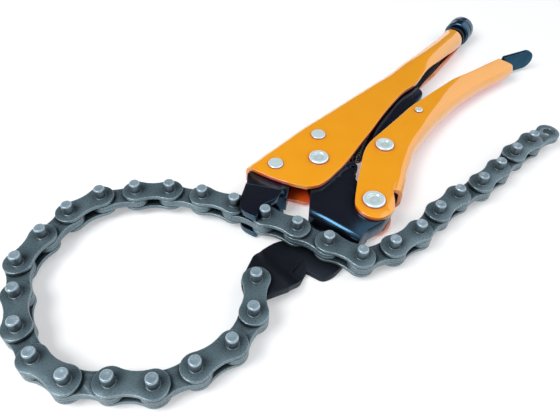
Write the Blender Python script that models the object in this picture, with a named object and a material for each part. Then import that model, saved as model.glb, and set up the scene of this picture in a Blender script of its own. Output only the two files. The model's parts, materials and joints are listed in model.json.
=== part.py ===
"""Chain clamp: a locking hand tool whose leaf chain goes round the work.

Metres, +Z up. The tool lies on its side: the middle plane of the chain and of both
handles is horizontal, and +Y runs from the chain's loop to the screw knob. The origin is
the middle of the footprint, at the height of the lowest face.

Plan places of the tool are shares of TOOL_REACH, measured from the jaw pivot. The chain is
laid out from the pin that rests in the fork, pitch by pitch, from its list of headings.
"""

import math

import bmesh
import bpy
from mathutils import Matrix, Vector

# Tool as a whole
TOOL_REACH = 0.179
SEAT_GAP = 0.0003
SLIDE_GAP = 0.0003
CUT_OVERRUN = 0.001

# Chain
PITCH = 0.015875
LINK_END_RADIUS = 0.00605
LINK_WAIST = 0.0092
LINK_PLATE = 0.0018
LINK_GAP = 0.0003
PIN_DIAMETER = 0.005
PIN_PLAY = 0.0002
PIN_STAND_OUT = 0.0049
LOOP_HEADINGS = (
    156.5, 164.0, 170.5, 185.5, 196.0, 222.0, 242.0, 250.0, 286.5,
    290.5, 309.5, 331.5, 0.0, 359.0, 27.5, 38.5, 63.5, 90.0,
)
TAIL_HEADINGS = (-22.0, -29.0, -27.0, 24.0, 37.5, 49.5, 45.0, 35.0, 45.5, 47.5, 42.5, 38.5)
HOOK_PIN_SHARES = (-0.138, -0.206)
PIN_SIDES = 12
LINK_END_STEPS = 6
LINK_WAIST_STEPS = 2

# Handles, folded from sheet
HANDLE_WIDTH = 0.013
SHEET = 0.002
BEND_RADIUS = 0.0043
FRONT_BULGE = 0.0018
BEND_STEPS = 3
FLANGE_STEPS = 2
# Half of the tube's slit at each row from the first rolled one to the tube's end
FIRST_TUBE_ROW = 10
TUBE_SLIT_DEGREES = (58.0, 45.0, 32.0, 11.0, 4.0, 4.0)
# Each row: the web's outer point, the flange's free edge, and how far the sheet is rolled
FIXED_HANDLE_SHARES = (
    ((-0.199, -0.040), (-0.034, -0.113), 0.0),
    ((-0.190, -0.027), (-0.003, -0.105), 0.0),
    ((-0.176, -0.012), (0.020, -0.087), 0.0),
    ((-0.154, 0.015), (0.041, -0.060), 0.0),
    ((-0.117, 0.057), (0.074, -0.014), 0.0),
    ((-0.052, 0.134), (0.1146, 0.058), 0.0),
    ((0.020, 0.209), (0.158, 0.134), 0.0),
    ((0.103, 0.297), (0.2075, 0.225), 0.0),
    ((0.176, 0.373), (0.268, 0.321), 0.0),
    ((0.237, 0.436), (0.318, 0.376), 0.0),
    ((0.289, 0.504), (0.3655, 0.447), 0.3),
    ((0.340, 0.564), (0.418, 0.511), 0.8),
    ((0.386, 0.622), (0.461, 0.574), 1.0),
    ((0.432, 0.680), (0.503, 0.638), 1.0),
    ((0.459, 0.715), (0.527, 0.675), 1.0),
    ((0.477, 0.747), (0.545, 0.707), 1.0),
)
LOWER_HANDLE_SHARES = (
    ((0.223, -0.111), (0.099, -0.107), 0.0),
    ((0.237, -0.069), (0.108, -0.062), 0.0),
    ((0.249, -0.020), (0.116, -0.020), 0.0),
    ((0.263, 0.021), (0.130, 0.039), 0.0),
    ((0.279, 0.064), (0.151, 0.081), 0.0),
    ((0.299, 0.103), (0.187, 0.127), 0.0),
    ((0.333, 0.158), (0.237, 0.189), 0.0),
    ((0.372, 0.215), (0.288, 0.253), 0.0),
    ((0.409, 0.264), (0.338, 0.304), 0.0),
    ((0.451, 0.315), (0.394, 0.360), 0.0),
    ((0.501, 0.367), (0.450, 0.413), 0.0),
    ((0.560, 0.422), (0.518, 0.465), 0.0),
    ((0.622, 0.471), (0.583, 0.517), 0.0),
    ((0.684, 0.524), (0.645, 0.551), 0.0),
)
LOBE_SHARES = (
    (0.104, -0.076), (0.092, -0.154), (0.096, -0.179), (0.107, -0.196), (0.125, -0.208),
    (0.144, -0.212), (0.163, -0.208), (0.180, -0.196), (0.191, -0.179), (0.195, -0.154),
    (0.196, -0.108), (0.207, -0.076),
)
SPRING_TAB_SHEET = 0.0016

# Rivets: shank and head diameters
PIVOT_SHANK = 0.006
PIVOT_HEAD = 0.0098
LEVER_SHANK = 0.0064
LEVER_HEAD = 0.0107
TOGGLE_SHANK = 0.0056
TOGGLE_HEAD = 0.0094
JAW_RIVET_SHANK = 0.0044
JAW_RIVET_HEAD = 0.0074
RELEASE_SHANK = 0.003
RELEASE_HEAD = 0.0043
HEAD_HEIGHT = 0.001
FLAT_HEAD_HEIGHT = 0.0005
SMALL_HEAD_HEIGHT = 0.0006
RIVET_PLAY = 0.0003
HOLE_SIDES = 14
LEVER_PIVOT_SHARES = (0.141, -0.152)
TOGGLE_PIVOT_SHARES = (0.189, 0.066)
RELEASE_PIVOT_SHARES = (0.309, 0.235)
JAW_RIVET_FRONT_SHARES = (-0.118, -0.031)
JAW_RIVET_REAR_SHARES = (0.000, 0.099)

# Fixed jaw
EAR_THICKNESS = 0.003
FIXED_JAW_SHARES = (
    (-0.085, -0.146), (-0.080, -0.118), (-0.075, -0.073), (-0.064, -0.020),
    (-0.047, 0.030), (-0.020, 0.055), (0.025, 0.066), (0.039, 0.100), (0.017, 0.134),
    (-0.021, 0.142), (-0.039, 0.116), (-0.129, 0.007), (-0.175, -0.048),
    (-0.193, -0.059), (-0.192, -0.137),
)
FORK_WALL_SHARES = (
    (-0.091, -0.145), (-0.095, -0.134), (-0.150, -0.122), (-0.193, -0.114), (-0.192, -0.137),
)
EAR_BACK_SHARES = ((-0.095, -0.134), (-0.150, -0.122), (-0.193, -0.114))
# From the hook pin to the rest of the ear's edge, as shares of a link's pitch
EAR_EDGE_SHARES = (
    (-0.718, 0.49), (-0.731, 0.139), (-0.624, -0.057), (-0.416, -0.202), (-0.258, -0.271),
    (-0.202, -0.227),
)
EAR_RETURN_SHARES = ((0.045, 0.296), (0.214, 0.391), (0.346, 0.529), (0.41, 0.655))
NOTCH_DEGREES = (205.0, 180.0, 150.0, 122.0)
NOTCH_PLAY = 0.0004

# Movable jaw with its cranked arm
JAW_LUG_RADIUS = 0.0075
JAW_PLATE = 0.0022
JAW_BEND_RADIUS = 0.0034
JAW_BEND_STEPS = 3
JAW_FRONT_SHARES = ((-0.026, -0.189), (0.098, -0.271))
JAW_RIGHT_SHARES = (
    (0.119, -0.242), (0.144, -0.224), (0.170, -0.203), (0.191, -0.165), (0.201, -0.129),
    (0.190, -0.096), (0.156, -0.082), (0.115, -0.087), (0.097, -0.050), (0.106, -0.028),
    (0.109, -0.014), (0.104, -0.001), (0.091, 0.004), (0.053, 0.003),
)
JAW_LEFT_SHARES = (-0.021, -0.104)
JAW_LUG_DEGREES = (25.0, 185.0)
POCKET_SHARES = (
    (-0.056, -0.154), (0.103, -0.257), (0.149, -0.206), (0.173, -0.165), (0.235, -0.165),
    (0.235, 0.072), (-0.089, 0.072),
)
ARM_THICKNESS = 0.0036
ARM_EYE_RADIUS = 0.0063
# Left and right ends of the arm's cross lines, from the eye's pin, as shares of a pitch
ARM_NECK_SHARES = (((-0.34, 0.21), (0.29, -0.43)), ((-0.142, 0.8), (0.84, -0.16)))
ARM_HEEL_SHARES = ((-0.140, -0.283), (-0.044, -0.372))
SLAB_SHARES = (
    (-0.140, -0.283), (-0.117, -0.264), (-0.097, -0.253), (-0.072, -0.244),
    (-0.028, -0.192), (-0.016, -0.171), (0.014, -0.137), (0.078, -0.174),
    (0.128, -0.226), (0.097, -0.266), (0.058, -0.320), (0.037, -0.345), (0.012, -0.358),
    (-0.008, -0.350), (-0.029, -0.338), (-0.044, -0.372),
)
ROOT_SHARES = (
    (-0.014, -0.182), (0.012, -0.146), (0.073, -0.179), (0.121, -0.227), (0.096, -0.260),
)
NOSE_SHARES = ((-0.034, -0.300), (0.062, -0.362))
NOSE_REACH = 0.0125
NOSE_TIP_THICKNESS = 0.0012

# Toggle link and release lever
TOGGLE_LUG_RADIUS = 0.0055
TOGGLE_TIP_RADIUS = 0.006
TOGGLE_WAIST = 0.008
TOGGLE_SIDE_ROOM = 0.0006
TOGGLE_TIP_SHARES = (0.307, 0.351)
TOGGLE_TIP_WRAP = 100.0
# Ends of the waist's straight sides, as shares of the run from the pivot to the tip
TOGGLE_WAIST_SHARES = (0.2, 0.7)
TOGGLE_BACK_SHARES = ((0.250, 0.336), (0.209, 0.268), (0.198, 0.236), (0.161, 0.118), (0.158, 0.088))
RELEASE_BOSS_RADIUS = 0.0029
RELEASE_STRAP = 0.002
RELEASE_TAB_WIDTH = 0.0124
RELEASE_SHOULDER_SHARE = 0.045
RELEASE_END_DEGREES = (18.0, 36.0, 54.0, 74.0)
LEVER_PATH_SHARES = (
    (0.309, 0.235), (0.355, 0.301), (0.402, 0.357), (0.461, 0.411), (0.527, 0.463),
    (0.583, 0.508), (0.611, 0.532), (0.645, 0.5574), (0.718, 0.599), (0.769, 0.616),
)

# Adjusting screw, its threaded collar and its knob
SCREW_HEADING = 59.5
SCREW_DIAMETER = 0.0064
SCREW_TIP_CHAMFER = 0.0008
TUBE_END_SHARES = (0.511, 0.727)
LINK_TO_SCREW_GAP = 0.003
COLLAR_DIAMETER = 0.0134
COLLAR_FLANGE = 0.0026
BUSH_DIAMETER = 0.008
BUSH_LENGTH = 0.011
NECK_DIAMETER = 0.0092
NECK_LENGTH = 0.0022
KNOB_DIAMETER = 0.0162
KNOB_LENGTH = 0.0125
KNOB_ROUNDING = 0.0026
KNOB_SHOULDER_SHARE = 0.5
KNOB_CORNER_SHARE = 0.3
KNOB_STEPS = 20

# Tension spring
SPRING_WIRE = 0.0009
SPRING_COIL_DIAMETER = 0.0056
SPRING_PITCH = 0.0016
SPRING_CURLS = 20
CURL_POINTS = 9
SPRING_HOLE_CLEARANCE = 0.0005
HOOK_BEND_SHARE = 1.2
TURN_SHARE = 0.3
JAW_HOOK_SHARES = (0.095, -0.015)
TAB_HOOK_SHARES = (0.182, 0.262)
SPRING_TAB_ROOT_SHARES = ((0.088, 0.270), (0.117, 0.300))

# Heights that follow from the sizes above
PIN_RADIUS = PIN_DIAMETER / 2
INNER_TOP = LINK_PLATE
OUTER_LOW = INNER_TOP + LINK_GAP
OUTER_TOP = OUTER_LOW + LINK_PLATE
PIN_TOP = OUTER_TOP + PIN_STAND_OUT
FLANGE_TOP = HANDLE_WIDTH / 2
FLANGE_LOW = FLANGE_TOP - SHEET
CORE_HALF = FLANGE_LOW - SLIDE_GAP
EAR_LOW = OUTER_TOP + LINK_GAP
EAR_TOP = EAR_LOW + EAR_THICKNESS
SLAB_TOP = -OUTER_TOP - LINK_GAP
SLAB_LOW = SLAB_TOP - ARM_THICKNESS


def plan(share):
    """Place in the plan, from the jaw pivot, of a pair of shares of the tool's reach."""
    return Vector((share[0] * TOOL_REACH, share[1] * TOOL_REACH))


def from_pin(pin, share):
    """Place in the plan at a pair of shares of the pitch from a pin."""
    return pin + Vector((share[0] * PITCH, share[1] * PITCH))


def walk(start, headings):
    """Pins of a run of links from a start, one pitch along each heading."""
    pins = [start]
    for heading in headings:
        angle = math.radians(heading)
        step = Vector((math.cos(angle), math.sin(angle))) * PITCH
        pins.append(pins[-1] + step)
    return pins


def outer_radius(radius, sides):
    """Radius of the polygon that stays outside a circle of this radius."""
    return radius / math.cos(math.pi / sides)


def ring(centre, radius, sides):
    """Points of a circle in the plan."""
    turns = (2 * math.pi * i / sides for i in range(sides))
    return [centre + Vector((math.cos(a), math.sin(a))) * radius for a in turns]


def arc(centre, radius, first, last, steps):
    """Points of an arc in the plan, its angles in degrees."""
    points = []
    for i in range(steps + 1):
        angle = math.radians(first + (last - first) * i / steps)
        points.append(centre + Vector((math.cos(angle), math.sin(angle))) * radius)
    return points


def material(name, colour, roughness, metallic):
    """Principled material with the piece's colour."""
    made = bpy.data.materials.new(name)
    made.use_nodes = True
    shader = made.node_tree.nodes["Principled BSDF"]
    shader.inputs["Base Color"].default_value = (*colour, 1)
    shader.inputs["Roughness"].default_value = roughness
    shader.inputs["Metallic"].default_value = metallic
    made.diffuse_color = (*colour, 1)
    return made


def mesh_object(name, points, faces):
    """Object of one closed mesh whose faces point out."""
    mesh = bpy.data.meshes.new(name)
    work = bmesh.new()
    vertices = [work.verts.new(point) for point in points]
    for face in faces:
        work.faces.new([vertices[i] for i in face])
    bmesh.ops.recalc_face_normals(work, faces=work.faces)
    work.to_mesh(mesh)
    work.free()
    made = bpy.data.objects.new(name, mesh)
    bpy.context.scene.collection.objects.link(made)
    return made


def prism(name, outline, low, high):
    """Solid with a plan outline between two heights."""
    count = len(outline)
    points = [(p[0], p[1], low) for p in outline] + [(p[0], p[1], high) for p in outline]
    faces = [tuple(range(count)), tuple(range(count, 2 * count))]
    for i in range(count):
        after = (i + 1) % count
        faces.append((i, after, after + count, i + count))
    return mesh_object(name, points, faces)


def loft(name, sections):
    """Solid through closed sections that have one count of points each."""
    count = len(sections[0])
    points = [point for section in sections for point in section]
    faces = []
    for k in range(len(sections) - 1):
        for i in range(count):
            after = (i + 1) % count
            base = k * count
            faces.append((base + i, base + after, base + count + after, base + count + i))
    half = count // 2
    for base in (0, count * (len(sections) - 1)):
        for i in range(half - 1):
            faces.append((base + i, base + i + 1, base + count - 2 - i, base + count - 1 - i))
    return mesh_object(name, points, faces)


def turned(name, profile, sides, bored=False):
    """Solid turned about Z from pairs of radius and height, with a bore if the profile is closed."""
    points, rings = [], []
    for radius, height in profile:
        if radius == 0:
            rings.append([len(points)])
            points.append((0, 0, height))
            continue
        rings.append(list(range(len(points), len(points) + sides)))
        for i in range(sides):
            angle = 2 * math.pi * i / sides
            points.append((radius * math.cos(angle), radius * math.sin(angle), height))
    faces = []
    pairs = list(zip(rings, rings[1:]))
    if bored:
        pairs.append((rings[-1], rings[0]))
    for lower, upper in pairs:
        for i in range(sides):
            after = (i + 1) % sides
            if len(lower) == 1:
                faces.append((lower[0], upper[i], upper[after]))
            elif len(upper) == 1:
                faces.append((lower[i], lower[after], upper[0]))
            else:
                faces.append((lower[i], lower[after], upper[after], upper[i]))
    return mesh_object(name, points, faces)


def settle(target):
    """Replaces an object's modifiers with the mesh that they make."""
    bpy.context.view_layer.update()
    graph = bpy.context.evaluated_depsgraph_get()
    mesh = bpy.data.meshes.new_from_object(target.evaluated_get(graph))
    target.modifiers.clear()
    old, target.data = target.data, mesh
    bpy.data.meshes.remove(old)


def combine(target, tool, operation):
    """Boolean of a target with a tool object, which is used up."""
    modifier = target.modifiers.new(operation.title(), "BOOLEAN")
    modifier.operation = operation
    modifier.solver = "EXACT"
    modifier.object = tool
    settle(target)
    bpy.data.objects.remove(tool)


def cut(target, tool):
    combine(target, tool, "DIFFERENCE")


def join(target, tool):
    combine(target, tool, "UNION")


def drill(target, centre, radius, low, high):
    """Round hole along Z that stays clear of a shank of this radius."""
    outline = ring(centre, outer_radius(radius, HOLE_SIDES), HOLE_SIDES)
    cut(target, prism("drill", outline, low - CUT_OVERRUN, high + CUT_OVERRUN))


def finish(target, made, origin, parent):
    """Dresses a node, puts its origin on a plan point and shades its round faces smooth."""
    target.data.materials.clear()
    target.data.materials.append(made)
    for face in target.data.polygons:
        face.material_index = 0
    target.data.transform(Matrix.Translation((-origin[0], -origin[1], 0)))
    target.location = (origin[0], origin[1], 0)
    target.parent = parent
    target.data.shade_smooth()
    target.data.set_sharp_from_angle(angle=math.radians(40))


def link_outline():
    """Figure-eight outline of a link plate, from the pin at zero to the pin one pitch on."""
    half_waist = LINK_WAIST / 2
    hollow = (PITCH**2 / 4 + half_waist**2 - LINK_END_RADIUS**2) / (
        2 * (LINK_END_RADIUS - half_waist)
    )
    rise = half_waist + hollow
    meet = math.degrees(math.atan2(rise, PITCH / 2))
    near, far = Vector((0, 0)), Vector((PITCH, 0))
    outline = arc(near, LINK_END_RADIUS, meet, 360 - meet, LINK_END_STEPS)
    below = arc(Vector((PITCH / 2, -rise)), hollow, 180 - meet, meet, LINK_WAIST_STEPS)
    outline += below[1:-1]
    outline += arc(far, LINK_END_RADIUS, meet - 180, 180 - meet, LINK_END_STEPS)
    above = arc(Vector((PITCH / 2, rise)), hollow, -meet, meet - 180, LINK_WAIST_STEPS)
    return outline + above[1:-1]


def outer_link_mesh():
    """Two outer plates on two riveted pins that stand out on top."""
    outline = link_outline()
    link = prism("outer_link", outline, OUTER_LOW, OUTER_TOP)
    join(link, prism("plate", outline, -OUTER_TOP, -OUTER_LOW))
    inset = SEAT_GAP / 2
    for place in (Vector((0, 0)), Vector((PITCH, 0))):
        pin = ring(place, PIN_RADIUS, PIN_SIDES)
        join(link, prism("pin", pin, -OUTER_TOP + inset, PIN_TOP))
    return link


def inner_link_mesh():
    """Middle plates of a link, lying together, with a hole at each end."""
    link = prism("inner_link", link_outline(), -INNER_TOP, INNER_TOP)
    for place in (Vector((0, 0)), Vector((PITCH, 0))):
        hole = ring(place, outer_radius(PIN_RADIUS + PIN_PLAY, PIN_SIDES), PIN_SIDES)
        cut(link, prism("hole", hole, -INNER_TOP - CUT_OVERRUN, INNER_TOP + CUT_OVERRUN))
    return link


def build_chain(pins, first_number, outer, inner, made, parent):
    """Links along a run of pins, odd numbers outer and even numbers inner."""
    for i in range(len(pins) - 1):
        number = first_number + i
        source = outer if number % 2 else inner
        link = bpy.data.objects.new(f"link_{number:02d}", source.data)
        bpy.context.scene.collection.objects.link(link)
        if not link.data.materials:
            link.data.materials.append(made)
            link.data.shade_smooth()
            link.data.set_sharp_from_angle(angle=math.radians(40))
        along = pins[i + 1] - pins[i]
        link.location = (pins[i][0], pins[i][1], 0)
        link.rotation_euler = (0, 0, math.atan2(along[1], along[0]))
        link.parent = parent


def sheet_section(web, edge, rolled, slit, bulge):
    """Closed section of a folded sheet on the line from its web to its free edge.

    The flat form is a channel; the rolled form is a tube with a slit at the free edge.
    """
    across = edge - web
    depth = across.length
    along = across.normalized()
    side = Vector((-along[1], along[0]))
    half = (HANDLE_WIDTH - SHEET) / 2
    bend = BEND_RADIUS - SHEET / 2
    start = SHEET / 2
    flat = depth - start - bend
    middle = [(start, 0)]
    for i in range(BEND_STEPS + 1):
        angle = math.pi / 2 * i / BEND_STEPS
        u = start + bend * (1 - math.cos(angle))
        middle.append((u, half - bend * (1 - math.sin(angle))))
    for i in range(1, FLANGE_STEPS + 1):
        middle.append((start + bend + flat * i / FLANGE_STEPS, half))
    lengths = [0]
    for a, b in zip(middle, middle[1:]):
        lengths.append(lengths[-1] + math.dist(a, b))
    tube = depth / 2
    path = []
    for (u, z), length in zip(middle, lengths):
        angle = (math.pi - math.radians(slit)) * length / lengths[-1]
        round_u = tube - (tube - start) * math.cos(angle)
        round_z = (tube - start) * math.sin(angle)
        path.append((u + (round_u - u) * rolled, z + (round_z - z) * rolled))
    path = [(u, -z) for u, z in path[:0:-1]] + path
    outside, inside = [], []
    for i, (u, z) in enumerate(path):
        before = path[max(i - 1, 0)]
        after = path[min(i + 1, len(path) - 1)]
        run = math.dist(before, after)
        normal = ((before[1] - after[1]) / run, (after[0] - before[0]) / run)
        for points, sign in ((outside, 1), (inside, -1)):
            at_u = u + normal[0] * sign * SHEET / 2
            at_z = z + normal[1] * sign * SHEET / 2
            share = at_u / depth
            swell = 4 * bulge * share * (1 - share)
            place = web + along * at_u + side * swell
            points.append((place[0], place[1], at_z))
    return outside + inside[::-1]


def folded_handle(name, rows, bulges):
    """Handle folded from one sheet along its table of rows."""
    sections = []
    for i, (web, edge, rolled) in enumerate(rows):
        slit = TUBE_SLIT_DEGREES[max(i - FIRST_TUBE_ROW, 0)]
        bulge = bulges[i] if i < len(bulges) else 0
        sections.append(sheet_section(plan(web), plan(edge), rolled, slit, bulge))
    return loft(name, sections)


def rivet(name, centre, shank, head, head_height, dimpled, made, parent):
    """Rivet with a head on each side of a handle."""
    seat = FLANGE_TOP + SEAT_GAP
    top = seat + head_height
    edge = head_height / 2
    rim = head / 2 * (1 - edge / head)
    half = [(shank / 2, seat), (head / 2, seat), (head / 2, seat + edge), (rim, top)]
    if dimpled:
        half += [(shank / 2, top), (shank / 4, top - edge), (0, top - edge)]
    else:
        half += [(0, top)]
    lower = [(radius, -height) for radius, height in half[::-1]]
    made_rivet = turned(name, lower + half, HOLE_SIDES)
    made_rivet.data.transform(Matrix.Translation((centre[0], centre[1], 0)))
    finish(made_rivet, made, centre, parent)
    return made_rivet


def build_fixed_handle(made, parent, pivots):
    """Fixed handle: channel, rolled tube with its slit, and the spring's tab."""
    bulges = (-FRONT_BULGE, -FRONT_BULGE / 2, -FRONT_BULGE / 4)
    handle = folded_handle("fixed_handle", FIXED_HANDLE_SHARES, bulges)
    low, high = plan(SPRING_TAB_ROOT_SHARES[0]), plan(SPRING_TAB_ROOT_SHARES[1])
    tip = plan(TAB_HOOK_SHARES)
    hole = SPRING_WIRE / 2 + SPRING_HOLE_CLEARANCE
    reach = hole + SPRING_TAB_SHEET
    along = (tip - (low + high) / 2).normalized()
    side = Vector((-along[1], along[0]))
    outline = [low, tip - side * reach, tip + along * reach, tip + side * reach, high]
    join(handle, prism("tab", outline, -SPRING_TAB_SHEET / 2, SPRING_TAB_SHEET / 2))
    drill(handle, tip, hole, -SPRING_TAB_SHEET, SPRING_TAB_SHEET)
    for centre, shank in pivots:
        drill(handle, centre, shank / 2 + RIVET_PLAY, -FLANGE_TOP, FLANGE_TOP)
    finish(handle, made, Vector((0, 0)), parent)


def build_fixed_jaw(hook_pin, made, parent):
    """Fixed jaw: a block held in the handle, and a fork whose ears hook a chain pin."""
    jaw = prism("fixed_jaw", [plan(s) for s in FIXED_JAW_SHARES], -CORE_HALF, CORE_HALF)
    wall = [plan(s) for s in FORK_WALL_SHARES]
    join(jaw, prism("wall", wall, -EAR_TOP + SEAT_GAP / 2, EAR_TOP - SEAT_GAP / 2))
    radius = outer_radius(PIN_RADIUS + NOTCH_PLAY, PIN_SIDES)
    notch = []
    for degrees in NOTCH_DEGREES:
        angle = math.radians(degrees)
        notch.append(hook_pin + Vector((math.cos(angle), math.sin(angle))) * radius)
    ear = [plan(s) for s in EAR_BACK_SHARES]
    ear += [from_pin(hook_pin, s) for s in EAR_EDGE_SHARES]
    ear += notch + [from_pin(hook_pin, s) for s in EAR_RETURN_SHARES]
    join(jaw, prism("upper_ear", ear, EAR_LOW, EAR_TOP))
    join(jaw, prism("lower_ear", ear, -EAR_TOP, -EAR_LOW))
    for shares in (JAW_RIVET_FRONT_SHARES, JAW_RIVET_REAR_SHARES):
        drill(jaw, plan(shares), JAW_RIVET_SHANK / 2 + RIVET_PLAY, -CORE_HALF, CORE_HALF)
    finish(jaw, made, Vector((0, 0)), parent)


def bevelled_front(body, first, last):
    """Rounds the top edge of the jaw's front."""
    work = bmesh.new()
    work.from_mesh(body.data)
    chosen = []
    for edge in work.edges:
        ends = [v.co for v in edge.verts]
        on_line = all(min((e.xy - first).length, (e.xy - last).length) < SEAT_GAP for e in ends)
        if on_line and min(e.z for e in ends) > 0 and edge.calc_length() > JAW_PLATE:
            chosen.append(edge)
    bmesh.ops.bevel(
        work, geom=chosen, offset=JAW_BEND_RADIUS, segments=JAW_BEND_STEPS,
        profile=0.5, affect="EDGES",
    )
    work.to_mesh(body.data)
    work.free()


def build_movable_jaw(eye_pin, made, parent):
    """Movable jaw: a pressed body in a U, and a cranked arm under the chain to its eye."""
    pivot, lever_pivot = Vector((0, 0)), plan(LEVER_PIVOT_SHARES)
    front = [plan(s) for s in JAW_FRONT_SHARES]
    lug = arc(pivot, JAW_LUG_RADIUS, *JAW_LUG_DEGREES, LINK_END_STEPS)
    outline = front + [plan(s) for s in JAW_RIGHT_SHARES] + lug + [plan(JAW_LEFT_SHARES)]
    jaw = prism("movable_jaw", outline, -CORE_HALF, CORE_HALF)
    bevelled_front(jaw, *front)
    inside = CORE_HALF - JAW_PLATE
    cut(jaw, prism("pocket", [plan(s) for s in POCKET_SHARES], -inside, inside))
    slab = prism("slab", [plan(s) for s in SLAB_SHARES], SLAB_LOW, SLAB_TOP)
    cut(slab, nose_cutter())
    root = [plan(s) for s in ROOT_SHARES]
    join(slab, prism("root", root, SLAB_LOW + SEAT_GAP, -inside - JAW_PLATE / 2))
    join(jaw, slab)
    half = ARM_THICKNESS / 2
    middle = (SLAB_LOW + SLAB_TOP) / 2
    heel = [plan(s) for s in ARM_HEEL_SHARES]
    along = Vector((heel[1][1] - heel[0][1], heel[0][0] - heel[1][0])).normalized()
    lines = [[from_pin(eye_pin, s) for s in pair] + [0, half] for pair in ARM_NECK_SHARES]
    lines.append([*heel, middle, half])
    inset = (heel[1] - heel[0]).normalized() * SEAT_GAP
    deep = [heel[0] + inset - along * CUT_OVERRUN, heel[1] - inset - along * CUT_OVERRUN]
    lines.append([*deep, middle, half - SEAT_GAP / 2])
    sections = []
    for left, right, height, thick in lines:
        sections.append([
            (left[0], left[1], height - thick), (right[0], right[1], height - thick),
            (right[0], right[1], height + thick), (left[0], left[1], height + thick),
        ])
    join(jaw, loft("neck", sections))
    eye = ring(eye_pin, ARM_EYE_RADIUS, HOLE_SIDES)
    join(jaw, prism("eye", eye, -half, half))
    bore = ring(eye_pin, outer_radius(PIN_RADIUS + PIN_PLAY, PIN_SIDES), PIN_SIDES)
    cut(jaw, prism("bore", bore, -half - CUT_OVERRUN, half + CUT_OVERRUN))
    drill(jaw, pivot, PIVOT_SHANK / 2 + RIVET_PLAY, -CORE_HALF, CORE_HALF)
    drill(jaw, lever_pivot, LEVER_SHANK / 2 + RIVET_PLAY, -CORE_HALF, CORE_HALF)
    hole = SPRING_WIRE / 2 + SPRING_HOLE_CLEARANCE
    drill(jaw, plan(JAW_HOOK_SHARES), hole, -CORE_HALF, CORE_HALF)
    finish(jaw, made, pivot, parent)


def nose_cutter():
    """Wedge that slopes the nose of the jaw's slab down to its tip."""
    left, right = plan(NOSE_SHARES[0]), plan(NOSE_SHARES[1])
    across = (right - left).normalized()
    out = Vector((across[1], -across[0]))
    low = SLAB_LOW + NOSE_TIP_THICKNESS
    fall = (SLAB_TOP - low) / NOSE_REACH
    far = NOSE_REACH + ARM_THICKNESS
    rise = SLAB_TOP + CUT_OVERRUN
    sections = []
    for corner in (left, right):
        far_point = corner + out * far
        back_point = corner - out * CUT_OVERRUN
        back_height = SLAB_TOP + fall * CUT_OVERRUN
        sections.append([
            (back_point[0], back_point[1], back_height),
            (far_point[0], far_point[1], SLAB_TOP - fall * far),
            (far_point[0], far_point[1], rise + ARM_THICKNESS),
            (back_point[0], back_point[1], rise + ARM_THICKNESS),
        ])
    return loft("nose", sections)


def build_lower_handle(made, parent):
    """Lower handle: channel whose flanges run on round the pivot."""
    handle = folded_handle("lower_handle", LOWER_HANDLE_SHARES, ())
    lobe = [plan(s) for s in LOBE_SHARES]
    join(handle, prism("lobe", lobe, FLANGE_LOW, FLANGE_TOP))
    join(handle, prism("lobe", lobe, -FLANGE_TOP, -FLANGE_LOW))
    pivot = plan(LEVER_PIVOT_SHARES)
    for shares, shank in (
        (LEVER_PIVOT_SHARES, LEVER_SHANK),
        (TOGGLE_PIVOT_SHARES, TOGGLE_SHANK),
        (RELEASE_PIVOT_SHARES, RELEASE_SHANK),
    ):
        drill(handle, plan(shares), shank / 2 + RIVET_PLAY, -FLANGE_TOP, FLANGE_TOP)
    finish(handle, made, pivot, parent)


def build_toggle_link(made, parent):
    """Toggle link from the lower handle to the screw's tip."""
    pivot, tip = plan(TOGGLE_PIVOT_SHARES), plan(TOGGLE_TIP_SHARES)
    run = tip - pivot
    heading = math.degrees(math.atan2(run[1], run[0]))
    side = Vector((-run[1], run[0])).normalized() * TOGGLE_WAIST / 2
    near, far = (pivot + run * share for share in TOGGLE_WAIST_SHARES)
    wrap = TOGGLE_TIP_WRAP
    outline = arc(tip, TOGGLE_TIP_RADIUS, heading - wrap, heading + wrap, LINK_END_STEPS)
    outline += [plan(pair) for pair in TOGGLE_BACK_SHARES]
    outline += arc(pivot, TOGGLE_LUG_RADIUS, heading + wrap, heading + 360 - wrap, LINK_END_STEPS)
    outline += [near - side, far - side]
    half = CORE_HALF - TOGGLE_SIDE_ROOM
    link = prism("toggle_link", outline, -half, half)
    drill(link, pivot, TOGGLE_SHANK / 2 + RIVET_PLAY, -half, half)
    finish(link, made, pivot, parent)


def build_release_lever(made, parent):
    """Release lever: a strap inside the lower handle that ends in a wide thumb tab."""
    pivot = plan(RELEASE_PIVOT_SHARES)
    path = [plan(s) for s in LEVER_PATH_SHARES]
    root, middle, end = path[-3:]
    wide = RELEASE_TAB_WIDTH / 2
    stations = [(point, CORE_HALF) for point in path[:-2]]
    stations.append((root + (middle - root) * RELEASE_SHOULDER_SHARE, wide))
    centre = end - (end - middle).normalized() * wide
    stations.append((centre, wide))
    for degrees in RELEASE_END_DEGREES:
        angle = math.radians(degrees)
        stations.append((centre + (end - centre) * math.sin(angle), wide * math.cos(angle)))
    sections = []
    for i, (point, half) in enumerate(stations):
        before = stations[max(i - 1, 0)][0]
        after = stations[min(i + 1, len(stations) - 1)][0]
        run = (after - before).normalized()
        side = Vector((-run[1], run[0])) * RELEASE_STRAP / 2
        left, right = point + side, point - side
        sections.append([
            (left[0], left[1], -half), (right[0], right[1], -half),
            (right[0], right[1], half), (left[0], left[1], half),
        ])
    lever = loft("release_lever", sections)
    boss = ring(pivot, RELEASE_BOSS_RADIUS, HOLE_SIDES)
    join(lever, prism("boss", boss, -CORE_HALF + SEAT_GAP / 2, CORE_HALF - SEAT_GAP / 2))
    drill(lever, pivot, RELEASE_SHANK / 2 + RIVET_PLAY, -CORE_HALF, CORE_HALF)
    finish(lever, made, pivot, parent)


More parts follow.
